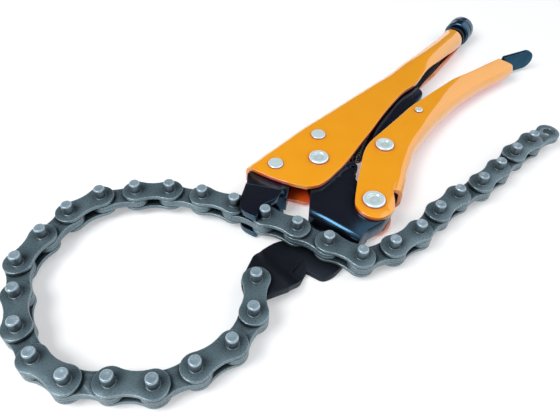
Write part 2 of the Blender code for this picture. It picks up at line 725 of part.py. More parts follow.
def along_screw(target, centre):
    """Turns a piece made along Z so that it lies along the screw's axis."""
    turn = Matrix.Rotation(math.radians(SCREW_HEADING - 90), 4, "Z")
    lay = Matrix.Rotation(math.radians(-90), 4, "X")
    target.data.transform(turn @ lay)
    target.data.transform(Matrix.Translation((centre[0], centre[1], 0)))


def build_screw(steel, dark, parent):
    """Threaded collar in the tube's end, the adjusting screw and its knob."""
    centre = plan(TUBE_END_SHARES)
    angle = math.radians(SCREW_HEADING)
    axis = Vector((math.cos(angle), math.sin(angle)))
    tip_centre = plan(TOGGLE_TIP_SHARES)
    reach = (tip_centre - centre).dot(axis) + TOGGLE_TIP_RADIUS + LINK_TO_SCREW_GAP
    radius = SCREW_DIAMETER / 2
    bore = radius + SLIDE_GAP
    collar_profile = [
        (bore, -BUSH_LENGTH), (BUSH_DIAMETER / 2, -BUSH_LENGTH), (BUSH_DIAMETER / 2, SEAT_GAP),
        (COLLAR_DIAMETER / 2, SEAT_GAP), (COLLAR_DIAMETER / 2, COLLAR_FLANGE),
        (bore, COLLAR_FLANGE),
    ]
    collar = turned("screw_collar", collar_profile, KNOB_STEPS, bored=True)
    neck_start = COLLAR_FLANGE + SEAT_GAP
    neck_end = neck_start + NECK_LENGTH
    knob_top = neck_end + KNOB_LENGTH
    knob_radius = KNOB_DIAMETER / 2
    knob_bore = radius + SEAT_GAP
    shoulder = KNOB_ROUNDING * KNOB_SHOULDER_SHARE
    corner = KNOB_ROUNDING * KNOB_CORNER_SHARE
    profile = [
        (knob_bore, neck_start), (NECK_DIAMETER / 2, neck_start), (NECK_DIAMETER / 2, neck_end),
        (knob_radius - shoulder, neck_end), (knob_radius, neck_end + shoulder),
        (knob_radius, knob_top - KNOB_ROUNDING), (knob_radius - corner, knob_top - corner),
        (knob_radius - KNOB_ROUNDING, knob_top), (knob_bore, knob_top),
    ]
    knob = turned("screw_knob", profile, KNOB_STEPS, bored=True)
    chamfer = SCREW_TIP_CHAMFER
    screw_profile = [
        (0, reach), (radius - chamfer, reach), (radius, reach + chamfer),
        (radius, knob_top - chamfer), (radius - chamfer, knob_top), (0, knob_top),
    ]
    screw = turned("adjusting_screw", screw_profile, KNOB_STEPS)
    for piece, made in ((collar, steel), (knob, dark), (screw, steel)):
        along_screw(piece, centre)
        finish(piece, made, centre, parent)


def spring_path():
    """Points of the spring's wire: a hook up through the jaw, the curls, a hook in the tab."""
    first, last = plan(JAW_HOOK_SHARES), plan(TAB_HOOK_SHARES)
    run = last - first
    along = Vector((run[0], run[1], 0)).normalized()
    side = Vector((-along[1], along[0], 0))
    up = Vector((0, 0, 1))
    start = Vector((first[0], first[1], 0))
    end = Vector((last[0], last[1], 0))
    coil = (SPRING_COIL_DIAMETER - SPRING_WIRE) / 2
    length = SPRING_CURLS * SPRING_PITCH
    lead = (run.length - length) / 2
    bend = SPRING_WIRE * HOOK_BEND_SHARE
    drop = CORE_HALF - SPRING_WIRE
    points = [start + up * drop, start + up * (drop - SPRING_WIRE), start + up * bend]
    points += [start + (up + along) * bend * TURN_SHARE, start + along * bend]
    points.append(start + along * (lead - coil))
    count = SPRING_CURLS * CURL_POINTS
    for i in range(count + 1):
        turn = 2 * math.pi * i / CURL_POINTS
        place = start + along * (lead + length * i / count)
        points.append(place + side * coil * math.sin(turn) + up * coil * math.cos(turn))
    over = SPRING_TAB_SHEET / 2 + SPRING_WIRE
    points.append(end - along * (lead - coil))
    points += [end - along * bend + up * over, end + (up * (over - bend * TURN_SHARE))]
    points[-1] -= along * bend * TURN_SHARE
    points += [end + up * (over - bend), end - up * over]
    return points


def least_self_gap(points):
    """Least free space between two stretches of the wire more than half a curl apart."""
    least = math.inf
    apart = CURL_POINTS // 2 + 1
    for i, point in enumerate(points):
        for other in points[i + apart:]:
            least = min(least, (point - other).length)
    return least - SPRING_WIRE


def build_spring(made, parent):
    """Tension spring as one unbroken tube."""
    points = spring_path()
    curve = bpy.data.curves.new("tension_spring", "CURVE")
    curve.dimensions = "3D"
    curve.bevel_depth = SPRING_WIRE / 2
    curve.bevel_resolution = 1
    curve.use_fill_caps = True
    spline = curve.splines.new("POLY")
    spline.points.add(len(points) - 1)
    for target, point in zip(spline.points, points):
        target.co = (*point, 1)
    spring = bpy.data.objects.new("tension_spring", curve)
    bpy.context.scene.collection.objects.link(spring)
    curve.materials.append(made)
    spring.parent = parent
    print(f"tension_spring least self-gap {least_self_gap(points) * 1000:.2f} mm")


def centre_on_footprint(parent):
    """Moves the part so that its origin is the middle of its footprint, at its lowest face."""
    bpy.context.view_layer.update()
    graph = bpy.context.evaluated_depsgraph_get()
    low = Vector((math.inf,) * 3)
    high = -low
    for piece in parent.children:
        evaluated = piece.evaluated_get(graph)
        mesh = evaluated.to_mesh()
        for vertex in mesh.vertices:
            point = evaluated.matrix_world @ vertex.co
            low = Vector(map(min, low, point))
            high = Vector(map(max, high, point))
        evaluated.to_mesh_clear()
    middle = (low + high) / 2
    parent.location = (-middle[0], -middle[1], -low[2])
    bpy.context.view_layer.update()


def main():
    for old in list(bpy.data.objects):
        bpy.data.objects.remove(old)
    frame = bpy.data.objects.new("clamp_frame", None)
    bpy.context.scene.collection.objects.link(frame)
    orange = material("orange_enamel", (0.87, 0.35, 0.02), 0.3, 0.0)
    black = material("black_enamel", (0.012, 0.012, 0.016), 0.3, 0.0)
    chain_steel = material("chain_steel", (0.17, 0.21, 0.23), 0.4, 1.0)
    zinc = material("bright_zinc", (0.75, 0.8, 0.82), 0.25, 1.0)
    spring_steel = material("spring_steel", (0.2, 0.2, 0.21), 0.35, 1.0)
    blued = material("blued_steel", (0.03, 0.07, 0.1), 0.35, 1.0)

    hook_pin = plan(HOOK_PIN_SHARES)
    loop = walk(hook_pin, LOOP_HEADINGS)[::-1]
    tail = walk(hook_pin, TAIL_HEADINGS)
    pivot = Vector((0, 0))

    outer, inner = outer_link_mesh(), inner_link_mesh()
    build_chain(loop, 1, outer, inner, chain_steel, frame)
    build_chain(tail, len(loop), outer, inner, chain_steel, frame)
    for pattern in (outer, inner):
        bpy.data.objects.remove(pattern)

    front, rear = plan(JAW_RIVET_FRONT_SHARES), plan(JAW_RIVET_REAR_SHARES)
    pivots = ((pivot, PIVOT_SHANK), (front, JAW_RIVET_SHANK), (rear, JAW_RIVET_SHANK))
    build_fixed_handle(orange, frame, pivots)
    build_fixed_jaw(hook_pin, black, frame)
    build_movable_jaw(loop[0], black, frame)
    build_lower_handle(orange, frame)
    build_toggle_link(black, frame)
    build_release_lever(blued, frame)
    build_screw(spring_steel, blued, frame)
    build_spring(spring_steel, frame)
    heads = (
        ("jaw_pivot_rivet", pivot, PIVOT_SHANK, PIVOT_HEAD, HEAD_HEIGHT, True),
        ("jaw_rivet_front", front, JAW_RIVET_SHANK, JAW_RIVET_HEAD, FLAT_HEAD_HEIGHT, False),
        ("jaw_rivet_rear", rear, JAW_RIVET_SHANK, JAW_RIVET_HEAD, FLAT_HEAD_HEIGHT, False),
        ("handle_pivot_rivet", plan(LEVER_PIVOT_SHARES), LEVER_SHANK, LEVER_HEAD,
         HEAD_HEIGHT, True),
        ("toggle_rivet", plan(TOGGLE_PIVOT_SHARES), TOGGLE_SHANK, TOGGLE_HEAD,
         HEAD_HEIGHT, True),
        ("release_rivet", plan(RELEASE_PIVOT_SHARES), RELEASE_SHANK, RELEASE_HEAD,
         SMALL_HEAD_HEIGHT, False),
    )
    for name, centre, shank, head, height, dimpled in heads:
        rivet(name, centre, shank, head, height, dimpled, zinc, frame)
    centre_on_footprint(frame)


main()
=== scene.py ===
"""Chain clamp: the looks of a locking hand tool whose leaf chain goes round the work.

Every piece is built in the tool's own frame, with the jaw pivot at zero and heights counted
from the middle plane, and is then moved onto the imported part. Lengths are in metres.
"""

import json
import logging
import math
from collections.abc import Callable
from dataclasses import dataclass
from enum import Enum

import bmesh
import bpy
from mathutils import Matrix, Vector

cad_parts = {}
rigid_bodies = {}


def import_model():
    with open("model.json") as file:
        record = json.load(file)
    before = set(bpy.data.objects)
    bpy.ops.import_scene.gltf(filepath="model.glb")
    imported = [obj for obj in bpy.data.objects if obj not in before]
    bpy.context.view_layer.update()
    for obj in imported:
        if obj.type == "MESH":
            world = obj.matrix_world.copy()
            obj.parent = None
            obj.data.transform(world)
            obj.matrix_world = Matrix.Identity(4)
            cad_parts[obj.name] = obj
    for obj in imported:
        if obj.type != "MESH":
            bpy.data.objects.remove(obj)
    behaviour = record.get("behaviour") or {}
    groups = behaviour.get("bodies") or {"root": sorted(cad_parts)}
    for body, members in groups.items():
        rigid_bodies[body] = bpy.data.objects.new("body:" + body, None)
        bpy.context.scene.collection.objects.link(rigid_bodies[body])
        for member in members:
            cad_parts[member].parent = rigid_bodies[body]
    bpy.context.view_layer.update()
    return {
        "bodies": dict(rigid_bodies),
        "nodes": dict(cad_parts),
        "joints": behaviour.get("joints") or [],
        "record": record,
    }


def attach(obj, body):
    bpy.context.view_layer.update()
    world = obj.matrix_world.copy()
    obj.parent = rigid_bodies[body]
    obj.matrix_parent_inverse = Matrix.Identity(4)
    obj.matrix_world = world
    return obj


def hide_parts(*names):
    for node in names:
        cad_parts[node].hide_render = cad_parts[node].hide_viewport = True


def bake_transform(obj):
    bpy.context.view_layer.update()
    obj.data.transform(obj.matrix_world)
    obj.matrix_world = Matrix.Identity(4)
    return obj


logging.basicConfig(level=logging.INFO, format="%(message)s")
LOG = logging.getLogger("chain_clamp")

Colour = tuple[float, float, float]
Pair = tuple[float, float]
Point = tuple[float, float, float]

# The chain's links, the pin in the fork counted from the jaw's eye, and the angle of a sharp edge
LINK_COUNT = 30
FORK_PIN = 18
SHARP_ANGLE = 35.0

# Lengths that several pieces share
TOOL_REACH = 0.179
PITCH = 0.015875
SHEET = 0.002
TAB_SHEET = 0.0016
HALF_WIDTH = 0.0065
CORE_HALF = 0.0042
HOOK_HOLE = 0.00095
SEAT_GAP = 0.0003
PLAY = 0.0003
HAIR = 0.00015
HANDLE_DRILL = HALF_WIDTH * 1.2
CORE_DRILL = CORE_HALF * 1.2

# Places that two pieces share, as shares of the tool's reach from the jaw pivot
SPRING_HOOK = (0.095, -0.015)
SPRING_TAB = (0.182, 0.262)
TOGGLE_TIP = (0.307, 0.351)


class Slot(Enum):
    """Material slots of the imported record."""

    ORANGE = "orange_enamel"
    BLACK = "black_enamel"
    CHAIN = "chain_steel"
    ZINC = "bright_zinc"
    SPRING = "spring_steel"
    STEEL = "plain_steel"
    BLUED = "blued_steel"


class NodeSheet:
    """Adds and links nodes in one material's tree."""

    SAMPLES = 6
    EDGE_DOT = 0.86

    def __init__(self, name: str) -> None:
        self.material = bpy.data.materials.new(name)
        self.material.use_nodes = True
        self.tree = self.material.node_tree
        self.shader = self.tree.nodes["Principled BSDF"]

    def add(self, kind: str, settings: dict | None = None, **inputs: object) -> bpy.types.Node:
        """Adds a node.

        Args:
            kind: the node's type name.
            settings: attributes of the node.
            inputs: values or source sockets by input name, with _ for a space.

        Returns:
            The new node.
        """
        node = self.tree.nodes.new(kind)
        for key, value in (settings or {}).items():
            setattr(node, key, value)
        for key, value in inputs.items():
            self.feed(node.inputs[key.replace("_", " ")], value)
        return node

    def feed(self, socket: bpy.types.NodeSocket, value: object) -> None:
        """Links a source socket, or sets a constant on the socket."""
        if isinstance(value, bpy.types.NodeSocket):
            self.tree.links.new(value, socket)
        elif isinstance(value, tuple) and len(value) == 3 and socket.type == "RGBA":
            socket.default_value = (*value, 1.0)
        else:
            socket.default_value = value

    def noise(self, scale: float, detail: float) -> bpy.types.NodeSocket:
        """Noise over the piece's own coordinates."""
        place = self.add("ShaderNodeTexCoord").outputs["Object"]
        made = self.add("ShaderNodeTexNoise", Vector=place, Scale=scale, Detail=detail)
        return made.outputs["Fac"]

    def ranged(self, value: bpy.types.NodeSocket, low: float, high: float,
               to_low: float, to_high: float) -> bpy.types.NodeSocket:
        """Maps a value from one range to another."""
        node = self.add("ShaderNodeMapRange", {"clamp": True})
        for key, entry in zip(("Value", "From Min", "From Max", "To Min", "To Max"),
                              (value, low, high, to_low, to_high)):
            self.feed(node.inputs[key], entry)
        return node.outputs["Result"]

    def mixed(self, factor: object, first: object, second: object) -> bpy.types.NodeSocket:
        """Mixes two colours, by socket numbers because the colour sockets share their names."""
        node = self.add("ShaderNodeMix", {"data_type": "RGBA"})
        for index, entry in ((0, factor), (6, first), (7, second)):
            self.feed(node.inputs[index], entry)
        return node.outputs[2]

    def edge(self, radius: float) -> tuple[bpy.types.NodeSocket, bpy.types.NodeSocket]:
        """Rounded normal and a mask of the edges within a radius."""
        bevel = self.add("ShaderNodeBevel", {"samples": self.SAMPLES}, Radius=radius).outputs["Normal"]
        true = self.add("ShaderNodeNewGeometry").outputs["Normal"]
        dot = self.add("ShaderNodeVectorMath", {"operation": "DOT_PRODUCT"})
        self.feed(dot.inputs[0], bevel)
        self.feed(dot.inputs[1], true)
        return bevel, self.ranged(dot.outputs["Value"], 1.0, self.EDGE_DOT, 0.0, 1.0)

    def open_sky(self, reach: float) -> bpy.types.NodeSocket:
        """How freely light comes in within a reach, from zero to one."""
        shade = self.add("ShaderNodeAmbientOcclusion", {"samples": self.SAMPLES}, Distance=reach)
        return shade.outputs["AO"]

    def product(self, first: bpy.types.NodeSocket, second: bpy.types.NodeSocket) -> bpy.types.NodeSocket:
        """Product of two values."""
        node = self.add("ShaderNodeMath", {"operation": "MULTIPLY"})
        self.feed(node.inputs[0], first)
        self.feed(node.inputs[1], second)
        return node.outputs[0]


@dataclass(frozen=True)
class Finish:
    """A surface finish with grain, a cloudy tint, painted shade in its hollows, and edges in a rim colour
    that is partly wear and partly a painted highlight.

    Args:
        slot: the record's material slot; not used.
        base: main colour.
        cloud: colour that the large clouds drift to.
        hollow: painted shade colour for corners and gaps that light hardly reaches.
        rim: colour of the edges, partly wear and partly a painted highlight.
        metallic: how metallic it is.
        roughness: mean roughness.
        spread: how far the roughness wanders.
        grain: grain size in metres.
        relief: height of the grain in metres.
        coat: weight of the clear coat.
        rim_width: radius of the worn and painted-highlight edge in metres.
        rim_share: how strongly the rim's colour shows.
        shade_reach: how far a hollow's painted shade reaches in metres.
        sheen: tint of the reflections.
        ior: index of refraction under the coat.
    """

    slot: Slot
    base: Colour
    cloud: Colour
    hollow: Colour
    rim: Colour
    metallic: float
    roughness: float
    spread: float
    grain: float
    relief: float
    coat: float = 0.0
    rim_width: float = 0.0003
    rim_share: float = 0.5
    shade_reach: float = 0.005
    sheen: Colour = (1.0, 1.0, 1.0)
    ior: float = 1.5

    CLOUD_SCALE = 90.0
    CLOUD_RANGE = (0.35, 0.7)
    GRAIN_RANGE = (0.3, 0.7)
    PATCH_RANGE = (0.35, 0.65)
    LEAST_WEAR_AND_HIGHLIGHT = 0.35
    SHADE_RANGE = (0.4, 0.97)
    COAT_ROUGHNESS = 0.04
    COAT_IOR = 1.8

    def build(self, name: str) -> bpy.types.Material:
        """Makes the material.

        Args:
            name: the material's name.

        Returns:
            The node material.
        """
        sheet = NodeSheet(name)
        clouds = sheet.noise(self.CLOUD_SCALE, 3.0)
        grain = sheet.noise(1 / self.grain, 4.0)
        rounded, rims = sheet.edge(self.rim_width)
        # Painted shade: the base colour turns to the hollow colour where the open sky is blocked within the
        # reach, in hollows and between parts.
        depth = sheet.ranged(sheet.open_sky(self.shade_reach), *self.SHADE_RANGE, 1.0, 0.0)
        # Rim colour on the edges, in patches: partly wear and partly a painted highlight.
        wear_and_highlight = sheet.product(rims, sheet.ranged(grain, *self.PATCH_RANGE, self.LEAST_WEAR_AND_HIGHLIGHT, 1.0))
        colour = sheet.mixed(sheet.ranged(clouds, *self.CLOUD_RANGE, 0.0, 1.0), self.base, self.cloud)
        colour = sheet.mixed(sheet.ranged(wear_and_highlight, 0.0, 1.0, 0.0, self.rim_share), colour, self.rim)
        bump = sheet.add("ShaderNodeBump", Strength=1.0, Distance=self.relief, Height=grain, Normal=rounded)
        for socket, value in (
            ("Base Color", sheet.mixed(depth, colour, self.hollow)),
            ("Roughness", sheet.ranged(grain, *self.GRAIN_RANGE, self.roughness - self.spread,
                                       self.roughness + self.spread)),
            ("Normal", bump.outputs["Normal"]),
            ("Coat Normal", rounded),
            ("Metallic", self.metallic),
            ("IOR", self.ior),
            ("Specular Tint", self.sheen),
            ("Coat Weight", self.coat),
            ("Coat Roughness", self.COAT_ROUGHNESS),
            ("Coat IOR", self.COAT_IOR),
        ):
            sheet.feed(sheet.shader.inputs[socket], value)
        return sheet.material


class Paint(Enum):
    """The finishes of the tool, each with its base, cloud, hollow and rim colours; the hollow colours are
    painted shade, and the rim colours are partly wear and partly a painted highlight.
    """

    # The orange's red hollow colour is painted shade together with painted light bounced between orange
    # faces.
    ORANGE = Finish(
        Slot.ORANGE, (0.88, 0.345, 0.006), (0.9, 0.36, 0.01), (0.68, 0.028, 0.012), (0.97, 0.52, 0.22),
        metallic=0.0, roughness=0.34, spread=0.03, grain=0.0014, relief=0.000001, coat=1.0,
        rim_width=0.0004, rim_share=0.15, shade_reach=0.01)
    BLACK = Finish(
        Slot.BLACK, (0.009, 0.009, 0.014), (0.011, 0.011, 0.016), (0.001, 0.001, 0.002), (0.04, 0.06, 0.09),
        metallic=0.0, roughness=0.18, spread=0.03, grain=0.0012, relief=0.000002,
        rim_width=0.0004, shade_reach=0.006, sheen=(0.22, 0.62, 1.0), ior=1.95)
    ARM = Finish(
        Slot.BLACK, (0.008, 0.009, 0.012), (0.01, 0.012, 0.016), (0.001, 0.001, 0.002), (0.05, 0.07, 0.1),
        metallic=0.3, roughness=0.5, spread=0.06, grain=0.0012, relief=0.000004,
        rim_width=0.0004, shade_reach=0.006, sheen=(0.4, 0.5, 0.7))
    # On the chain the dark hollow colours are painted shade that also stands for oil in the joints.
    PLATE = Finish(
        Slot.CHAIN, (0.155, 0.22, 0.25), (0.1, 0.15, 0.175), (0.004, 0.007, 0.01), (0.62, 0.74, 0.78),
        metallic=0.45, roughness=0.3, spread=0.06, grain=0.0008, relief=0.00001,
        rim_width=0.0005, rim_share=0.9)
    # Lit and shaded copies of the pin's finish: the tops get the lighter one below, and the sides get the
    # darker one after it as painted shade.
    PIN = Finish(
        Slot.CHAIN, (0.37, 0.48, 0.55), (0.26, 0.35, 0.4), (0.008, 0.012, 0.016), (0.9, 0.98, 1.0),
        metallic=0.4, roughness=0.3, spread=0.06, grain=0.0007, relief=0.000012,
        rim_width=0.00045, rim_share=1.0, shade_reach=0.004)
    SHANK = Finish(
        Slot.CHAIN, (0.1, 0.14, 0.16), (0.07, 0.1, 0.12), (0.004, 0.007, 0.01), (0.8, 0.92, 0.96),
        metallic=0.5, roughness=0.35, spread=0.08, grain=0.0007, relief=0.000012,
        rim_width=0.00045, rim_share=0.8)
    ZINC = Finish(
        Slot.ZINC, (0.82, 0.96, 0.98), (0.76, 0.92, 0.94), (0.1, 0.15, 0.15), (1.0, 1.0, 1.0),
        metallic=0.4, roughness=0.24, spread=0.02, grain=0.001, relief=0.000001,
        rim_width=0.0005, rim_share=0.8, shade_reach=0.003)
    SPRING = Finish(
        Slot.SPRING, (0.2, 0.22, 0.23), (0.12, 0.13, 0.14), (0.01, 0.01, 0.01), (0.6, 0.6, 0.62),
        metallic=0.8, roughness=0.3, spread=0.08, grain=0.0005, relief=0.00001)
    STEEL = Finish(
        Slot.STEEL, (0.01, 0.013, 0.016), (0.006, 0.008, 0.01), (0.002, 0.003, 0.004), (0.06, 0.08, 0.1),
        metallic=0.5, roughness=0.52, spread=0.06, grain=0.0007, relief=0.00001)
    BLUED = Finish(
        Slot.BLUED, (0.02, 0.07, 0.12), (0.01, 0.04, 0.075), (0.002, 0.004, 0.008), (0.2, 0.36, 0.48),
        metallic=0.8, roughness=0.24, spread=0.04, grain=0.0009, relief=0.000005,
        rim_width=0.0004, rim_share=0.6, shade_reach=0.004, sheen=(0.6, 0.85, 1.0))
    KNOB = Finish(
        Slot.BLUED, (0.006, 0.01, 0.018), (0.01, 0.018, 0.03), (0.001, 0.002, 0.004), (0.1, 0.2, 0.3),
        metallic=0.0, roughness=0.16, spread=0.03, grain=0.0009, relief=0.000004,
        rim_width=0.0004, rim_share=0.4, shade_reach=0.004, sheen=(0.25, 0.65, 1.0), ior=2.1)

    def material(self) -> bpy.types.Material:
        """Material of this finish, made on first use."""
        name = f"{self.name.lower()}_finish"
        return bpy.data.materials.get(name) or self.value.build(name)


def flat(place: Vector | Pair) -> Vector:
    """Plan vector of a pair."""
    return Vector((place[0], place[1]))


def share(pair: Pair) -> Vector:
    """Plan place from the jaw pivot, from shares of the tool's reach."""
    return Vector((pair[0], pair[1])) * TOOL_REACH


def shares(pairs: tuple[Pair, ...]) -> list[Vector]:
    """Plan places from the jaw pivot, from shares of the tool's reach."""
    return [share(pair) for pair in pairs]


def pitches(pin: Vector, pairs: tuple[Pair, ...]) -> list[Vector]:
    """Plan places round a pin, from shares of the chain's pitch."""
    return [pin + Vector(pair) * PITCH for pair in pairs]


def eased(t: float) -> float:
    """Smooth step from zero to one."""
    return t * t * (3 - 2 * t)


def heading_of(run: Vector) -> float:
    """Direction of a plan vector, in degrees."""
    return math.degrees(math.atan2(run[1], run[0]))


def arc(centre: Vector, radius: float, first: float, last: float, steps: int) -> list[Vector]:
    """Points of an arc in the plan, with its angles in degrees."""
    turns = (math.radians(first + (last - first) * i / steps) for i in range(steps + 1))
    return [centre + Vector((math.cos(a), math.sin(a))) * radius for a in turns]


def circle(centre: Vector, radius: float, count: int = 48) -> list[Vector]:
    """Points of a full circle in the plan."""
    return arc(centre, radius, 0, 360 - 360 / count, count - 1)


def curve_through(points: list[Vector], steps: int) -> list[Vector]:
    """Points of a smooth open curve through given points.

    Args:
        points: places of any dimension.
        steps: new points for each stretch.

    Returns:
        The dense points.
    """
    last = len(points) - 1
    dense = []
    for i in range(last):
        a, b, c, d = (points[min(max(i + k, 0), last)] for k in (-1, 0, 1, 2))
        for step in range(steps):
            t = step / steps
            dense.append(0.5 * (
                2 * b + (c - a) * t + (2 * a - 5 * b + 4 * c - d) * t * t
                + (3 * b - a - 3 * c + d) * t**3))
    return [*dense, points[-1].copy()]


class Solid:
    """A mesh under construction in the tool's frame."""

    DRILL_POINTS = 40

    def __init__(self, name: str, points: list, faces: list) -> None:
        work = bmesh.new()
        vertices = [work.verts.new(tuple(point)) for point in points]
        for face in faces:
            work.faces.new([vertices[i] for i in face])
        bmesh.ops.recalc_face_normals(work, faces=work.faces)
        mesh = bpy.data.meshes.new(name)
        work.to_mesh(mesh)
        work.free()
        self.object = bpy.data.objects.new(name, mesh)
        bpy.context.scene.collection.objects.link(self.object)

    @classmethod
    def prism(cls, name: str, outline: list, low: float, high: float) -> "Solid":
        """Solid with a plan outline between two heights."""
        count = len(outline)
        points = [(p[0], p[1], z) for z in (low, high) for p in outline]
        faces = [tuple(range(count)), tuple(range(count, 2 * count))]
        for i in range(count):
            after = (i + 1) % count
            faces.append((i, after, after + count, i + count))
        return cls(name, points, faces)

    @classmethod
    def loft(cls, name: str, sections: list) -> "Solid":
        """Solid through closed sections that have one count of points each."""
        count = len(sections[0])
        faces = []
        for k in range(len(sections) - 1):
            for i in range(count):
                after = (i + 1) % count
                base = k * count
                faces.append((base + i, base + after, base + count + after, base + count + i))
        for base in (0, count * (len(sections) - 1)):
            for i in range(count // 2 - 1):
                faces.append((base + i, base + i + 1, base + count - 2 - i, base + count - 1 - i))
        return cls(name, [point for section in sections for point in section], faces)

    @classmethod
    def turned(cls, name: str, profile: list[Pair], sides: int, bored: bool = False) -> "Solid":
        """Solid turned about Z from pairs of radius and height."""
        points, rings = [], []
        for radius, height in profile:
            start = len(points)
            if radius == 0:
                points.append((0, 0, height))
                rings.append([start] * sides)
                continue
            for i in range(sides):
                angle = 2 * math.pi * i / sides
                points.append((radius * math.cos(angle), radius * math.sin(angle), height))
            rings.append(list(range(start, start + sides)))
        pairs = list(zip(rings, rings[1:])) + ([(rings[-1], rings[0])] if bored else [])
        faces = []
        for lower, upper in pairs:
            for i in range(sides):
                after = (i + 1) % sides
                corners = [lower[i], lower[after], upper[after], upper[i]]
                faces.append(tuple(dict.fromkeys(corners)))
        return cls(name, points, faces)

    def settle(self) -> "Solid":
        """Replaces the modifiers with the mesh that they make."""
        bpy.context.view_layer.update()
        graph = bpy.context.evaluated_depsgraph_get()
        mesh = bpy.data.meshes.new_from_object(self.object.evaluated_get(graph))
        self.object.modifiers.clear()
        old, self.object.data = self.object.data, mesh
        bpy.data.meshes.remove(old)
        return self

    def boolean(self, tool: "Solid", operation: str) -> "Solid":
        """Boolean with another solid, which is used up."""
        modifier = self.object.modifiers.new("cut", "BOOLEAN")
        modifier.operation = operation
        modifier.solver = "EXACT"
        modifier.object = tool.object
        self.settle()
        bpy.data.objects.remove(tool.object)
        return self

    def cut(self, tool: "Solid") -> "Solid":
        """Takes another solid away."""
        return self.boolean(tool, "DIFFERENCE")

    def join(self, tool: "Solid") -> "Solid":
        """Adds another solid."""
        return self.boolean(tool, "UNION")

    def drill(self, centre: Vector, radius: float, reach: float, middle: float = 0.0) -> "Solid":
        """Round hole along Z that reaches equally far on both sides of its middle."""
        hole = circle(centre, radius, self.DRILL_POINTS)
        return self.cut(Solid.prism("drill", hole, middle - reach, middle + reach))

    def soften(self, width: float, angle: float = 40.0) -> "Solid":
        """Rounds the edges sharper than an angle."""
        modifier = self.object.modifiers.new("round", "BEVEL")
        modifier.width = width
        modifier.segments = 2
        modifier.limit_method = "ANGLE"
        modifier.angle_limit = math.radians(angle)
        modifier.miter_outer = "MITER_ARC"
        return self.settle()

    def move(self, matrix: Matrix) -> "Solid":
        """Moves the mesh itself."""
        self.object.data.transform(matrix)
        return self

    def painted(self, paint: Paint) -> "Solid":
        """Gives all faces one finish."""
        self.object.data.materials.clear()
        self.object.data.materials.append(paint.material())
        for face in self.object.data.polygons:
            face.material_index = 0
        return self

    def repaint(self, paint: Paint, chosen: Callable[[bpy.types.MeshPolygon], bool]) -> "Solid":
        """Gives the chosen faces another finish."""
        self.object.data.materials.append(paint.material())
        for face in self.object.data.polygons:
            if chosen(face):
                face.material_index = len(self.object.data.materials) - 1
        return self

    def take(self, other: "Solid") -> "Solid":
        """Puts another solid's mesh in with this one, each keeping its finish."""
        mesh = self.object.data
        for material in other.object.data.materials:
            if material.name not in mesh.materials:
                mesh.materials.append(material)
        places = [mesh.materials.find(m.name) for m in other.object.data.materials]
        work = bmesh.new()
        work.from_mesh(mesh)
        before = len(work.faces)
        work.from_mesh(other.object.data)
        work.faces.ensure_lookup_table()
        for face in work.faces[before:]:
            face.material_index = places[face.material_index]
        work.to_mesh(mesh)
        work.free()
        bpy.data.objects.remove(other.object)
        return self


class MeshTree:
    """Geometry Nodes tree that makes a mesh from a solid."""

    NAME: str
    INPUTS: tuple[tuple[str, str], ...]

    @classmethod
    def core(cls, tree: bpy.types.NodeTree, given: bpy.types.Node) -> bpy.types.NodeSocket:
        """Adds the nodes between the inputs and Realize Instances."""
        raise NotImplementedError

    @classmethod
    def tree(cls) -> bpy.types.NodeTree:
        """The tree, made on first use."""
        found = bpy.data.node_groups.get(cls.NAME)
        if found:
            return found
        tree = bpy.data.node_groups.new(cls.NAME, "GeometryNodeTree")
        for label, kind in (*cls.INPUTS, ("Finish", "Material")):
            tree.interface.new_socket(label, in_out="INPUT", socket_type=f"NodeSocket{kind}")
        tree.interface.new_socket("Made", in_out="OUTPUT", socket_type="NodeSocketGeometry")
        given = tree.nodes.new("NodeGroupInput")
        real = tree.nodes.new("GeometryNodeRealizeInstances")
        dress = tree.nodes.new("GeometryNodeSetMaterial")
        out = tree.nodes.new("NodeGroupOutput")
        tree.links.new(cls.core(tree, given), real.inputs["Geometry"])
        tree.links.new(real.outputs["Geometry"], dress.inputs["Geometry"])
        tree.links.new(given.outputs["Finish"], dress.inputs["Material"])
        tree.links.new(dress.outputs["Geometry"], out.inputs["Made"])
        return tree

    @classmethod
    def apply(cls, solid: Solid, paint: Paint, **values: object) -> Solid:
        """Runs the tree on a solid and keeps the mesh that it makes.

        Args:
            solid: the one that the tree works on.
            paint: finish of what it makes.
            values: the tree's inputs by name.

        Returns:
            The same solid with its new mesh.
        """
        tree = cls.tree()
        modifier = solid.object.modifiers.new(tree.name, "NODES")
        modifier.node_group = tree
        values["Finish"] = paint.material()
        for item in tree.interface.items_tree:
            if item.in_out == "INPUT" and item.name in values:
                modifier[item.identifier] = values[item.name]
        return solid.settle().painted(paint)


class Stack(MeshTree):
    """Repeats a solid along a line of equal steps."""

    NAME = "stack_on_line"
    INPUTS = (("Solid", "Geometry"), ("Count", "Int"), ("Start", "Vector"), ("Step", "Vector"))

    @classmethod
    def core(cls, tree: bpy.types.NodeTree, given: bpy.types.Node) -> bpy.types.NodeSocket:
        """Puts the solid on each point of a mesh line."""
        line = tree.nodes.new("GeometryNodeMeshLine")
        line.mode = "OFFSET"
        copies = tree.nodes.new("GeometryNodeInstanceOnPoints")
        for label, socket in (("Count", line.inputs["Count"]), ("Start", line.inputs["Start Location"]),
                              ("Step", line.inputs["Offset"]), ("Solid", copies.inputs["Instance"])):
            tree.links.new(given.outputs[label], socket)
        tree.links.new(line.outputs["Mesh"], copies.inputs["Points"])
        return copies.outputs["Instances"]

    @classmethod
    def repeat(cls, solid: Solid, count: int, step: Point, paint: Paint) -> Solid:
        """Repeats a solid from its own place on, as one mesh."""
        return cls.apply(solid, paint, Count=count, Start=(0, 0, 0), Step=step)


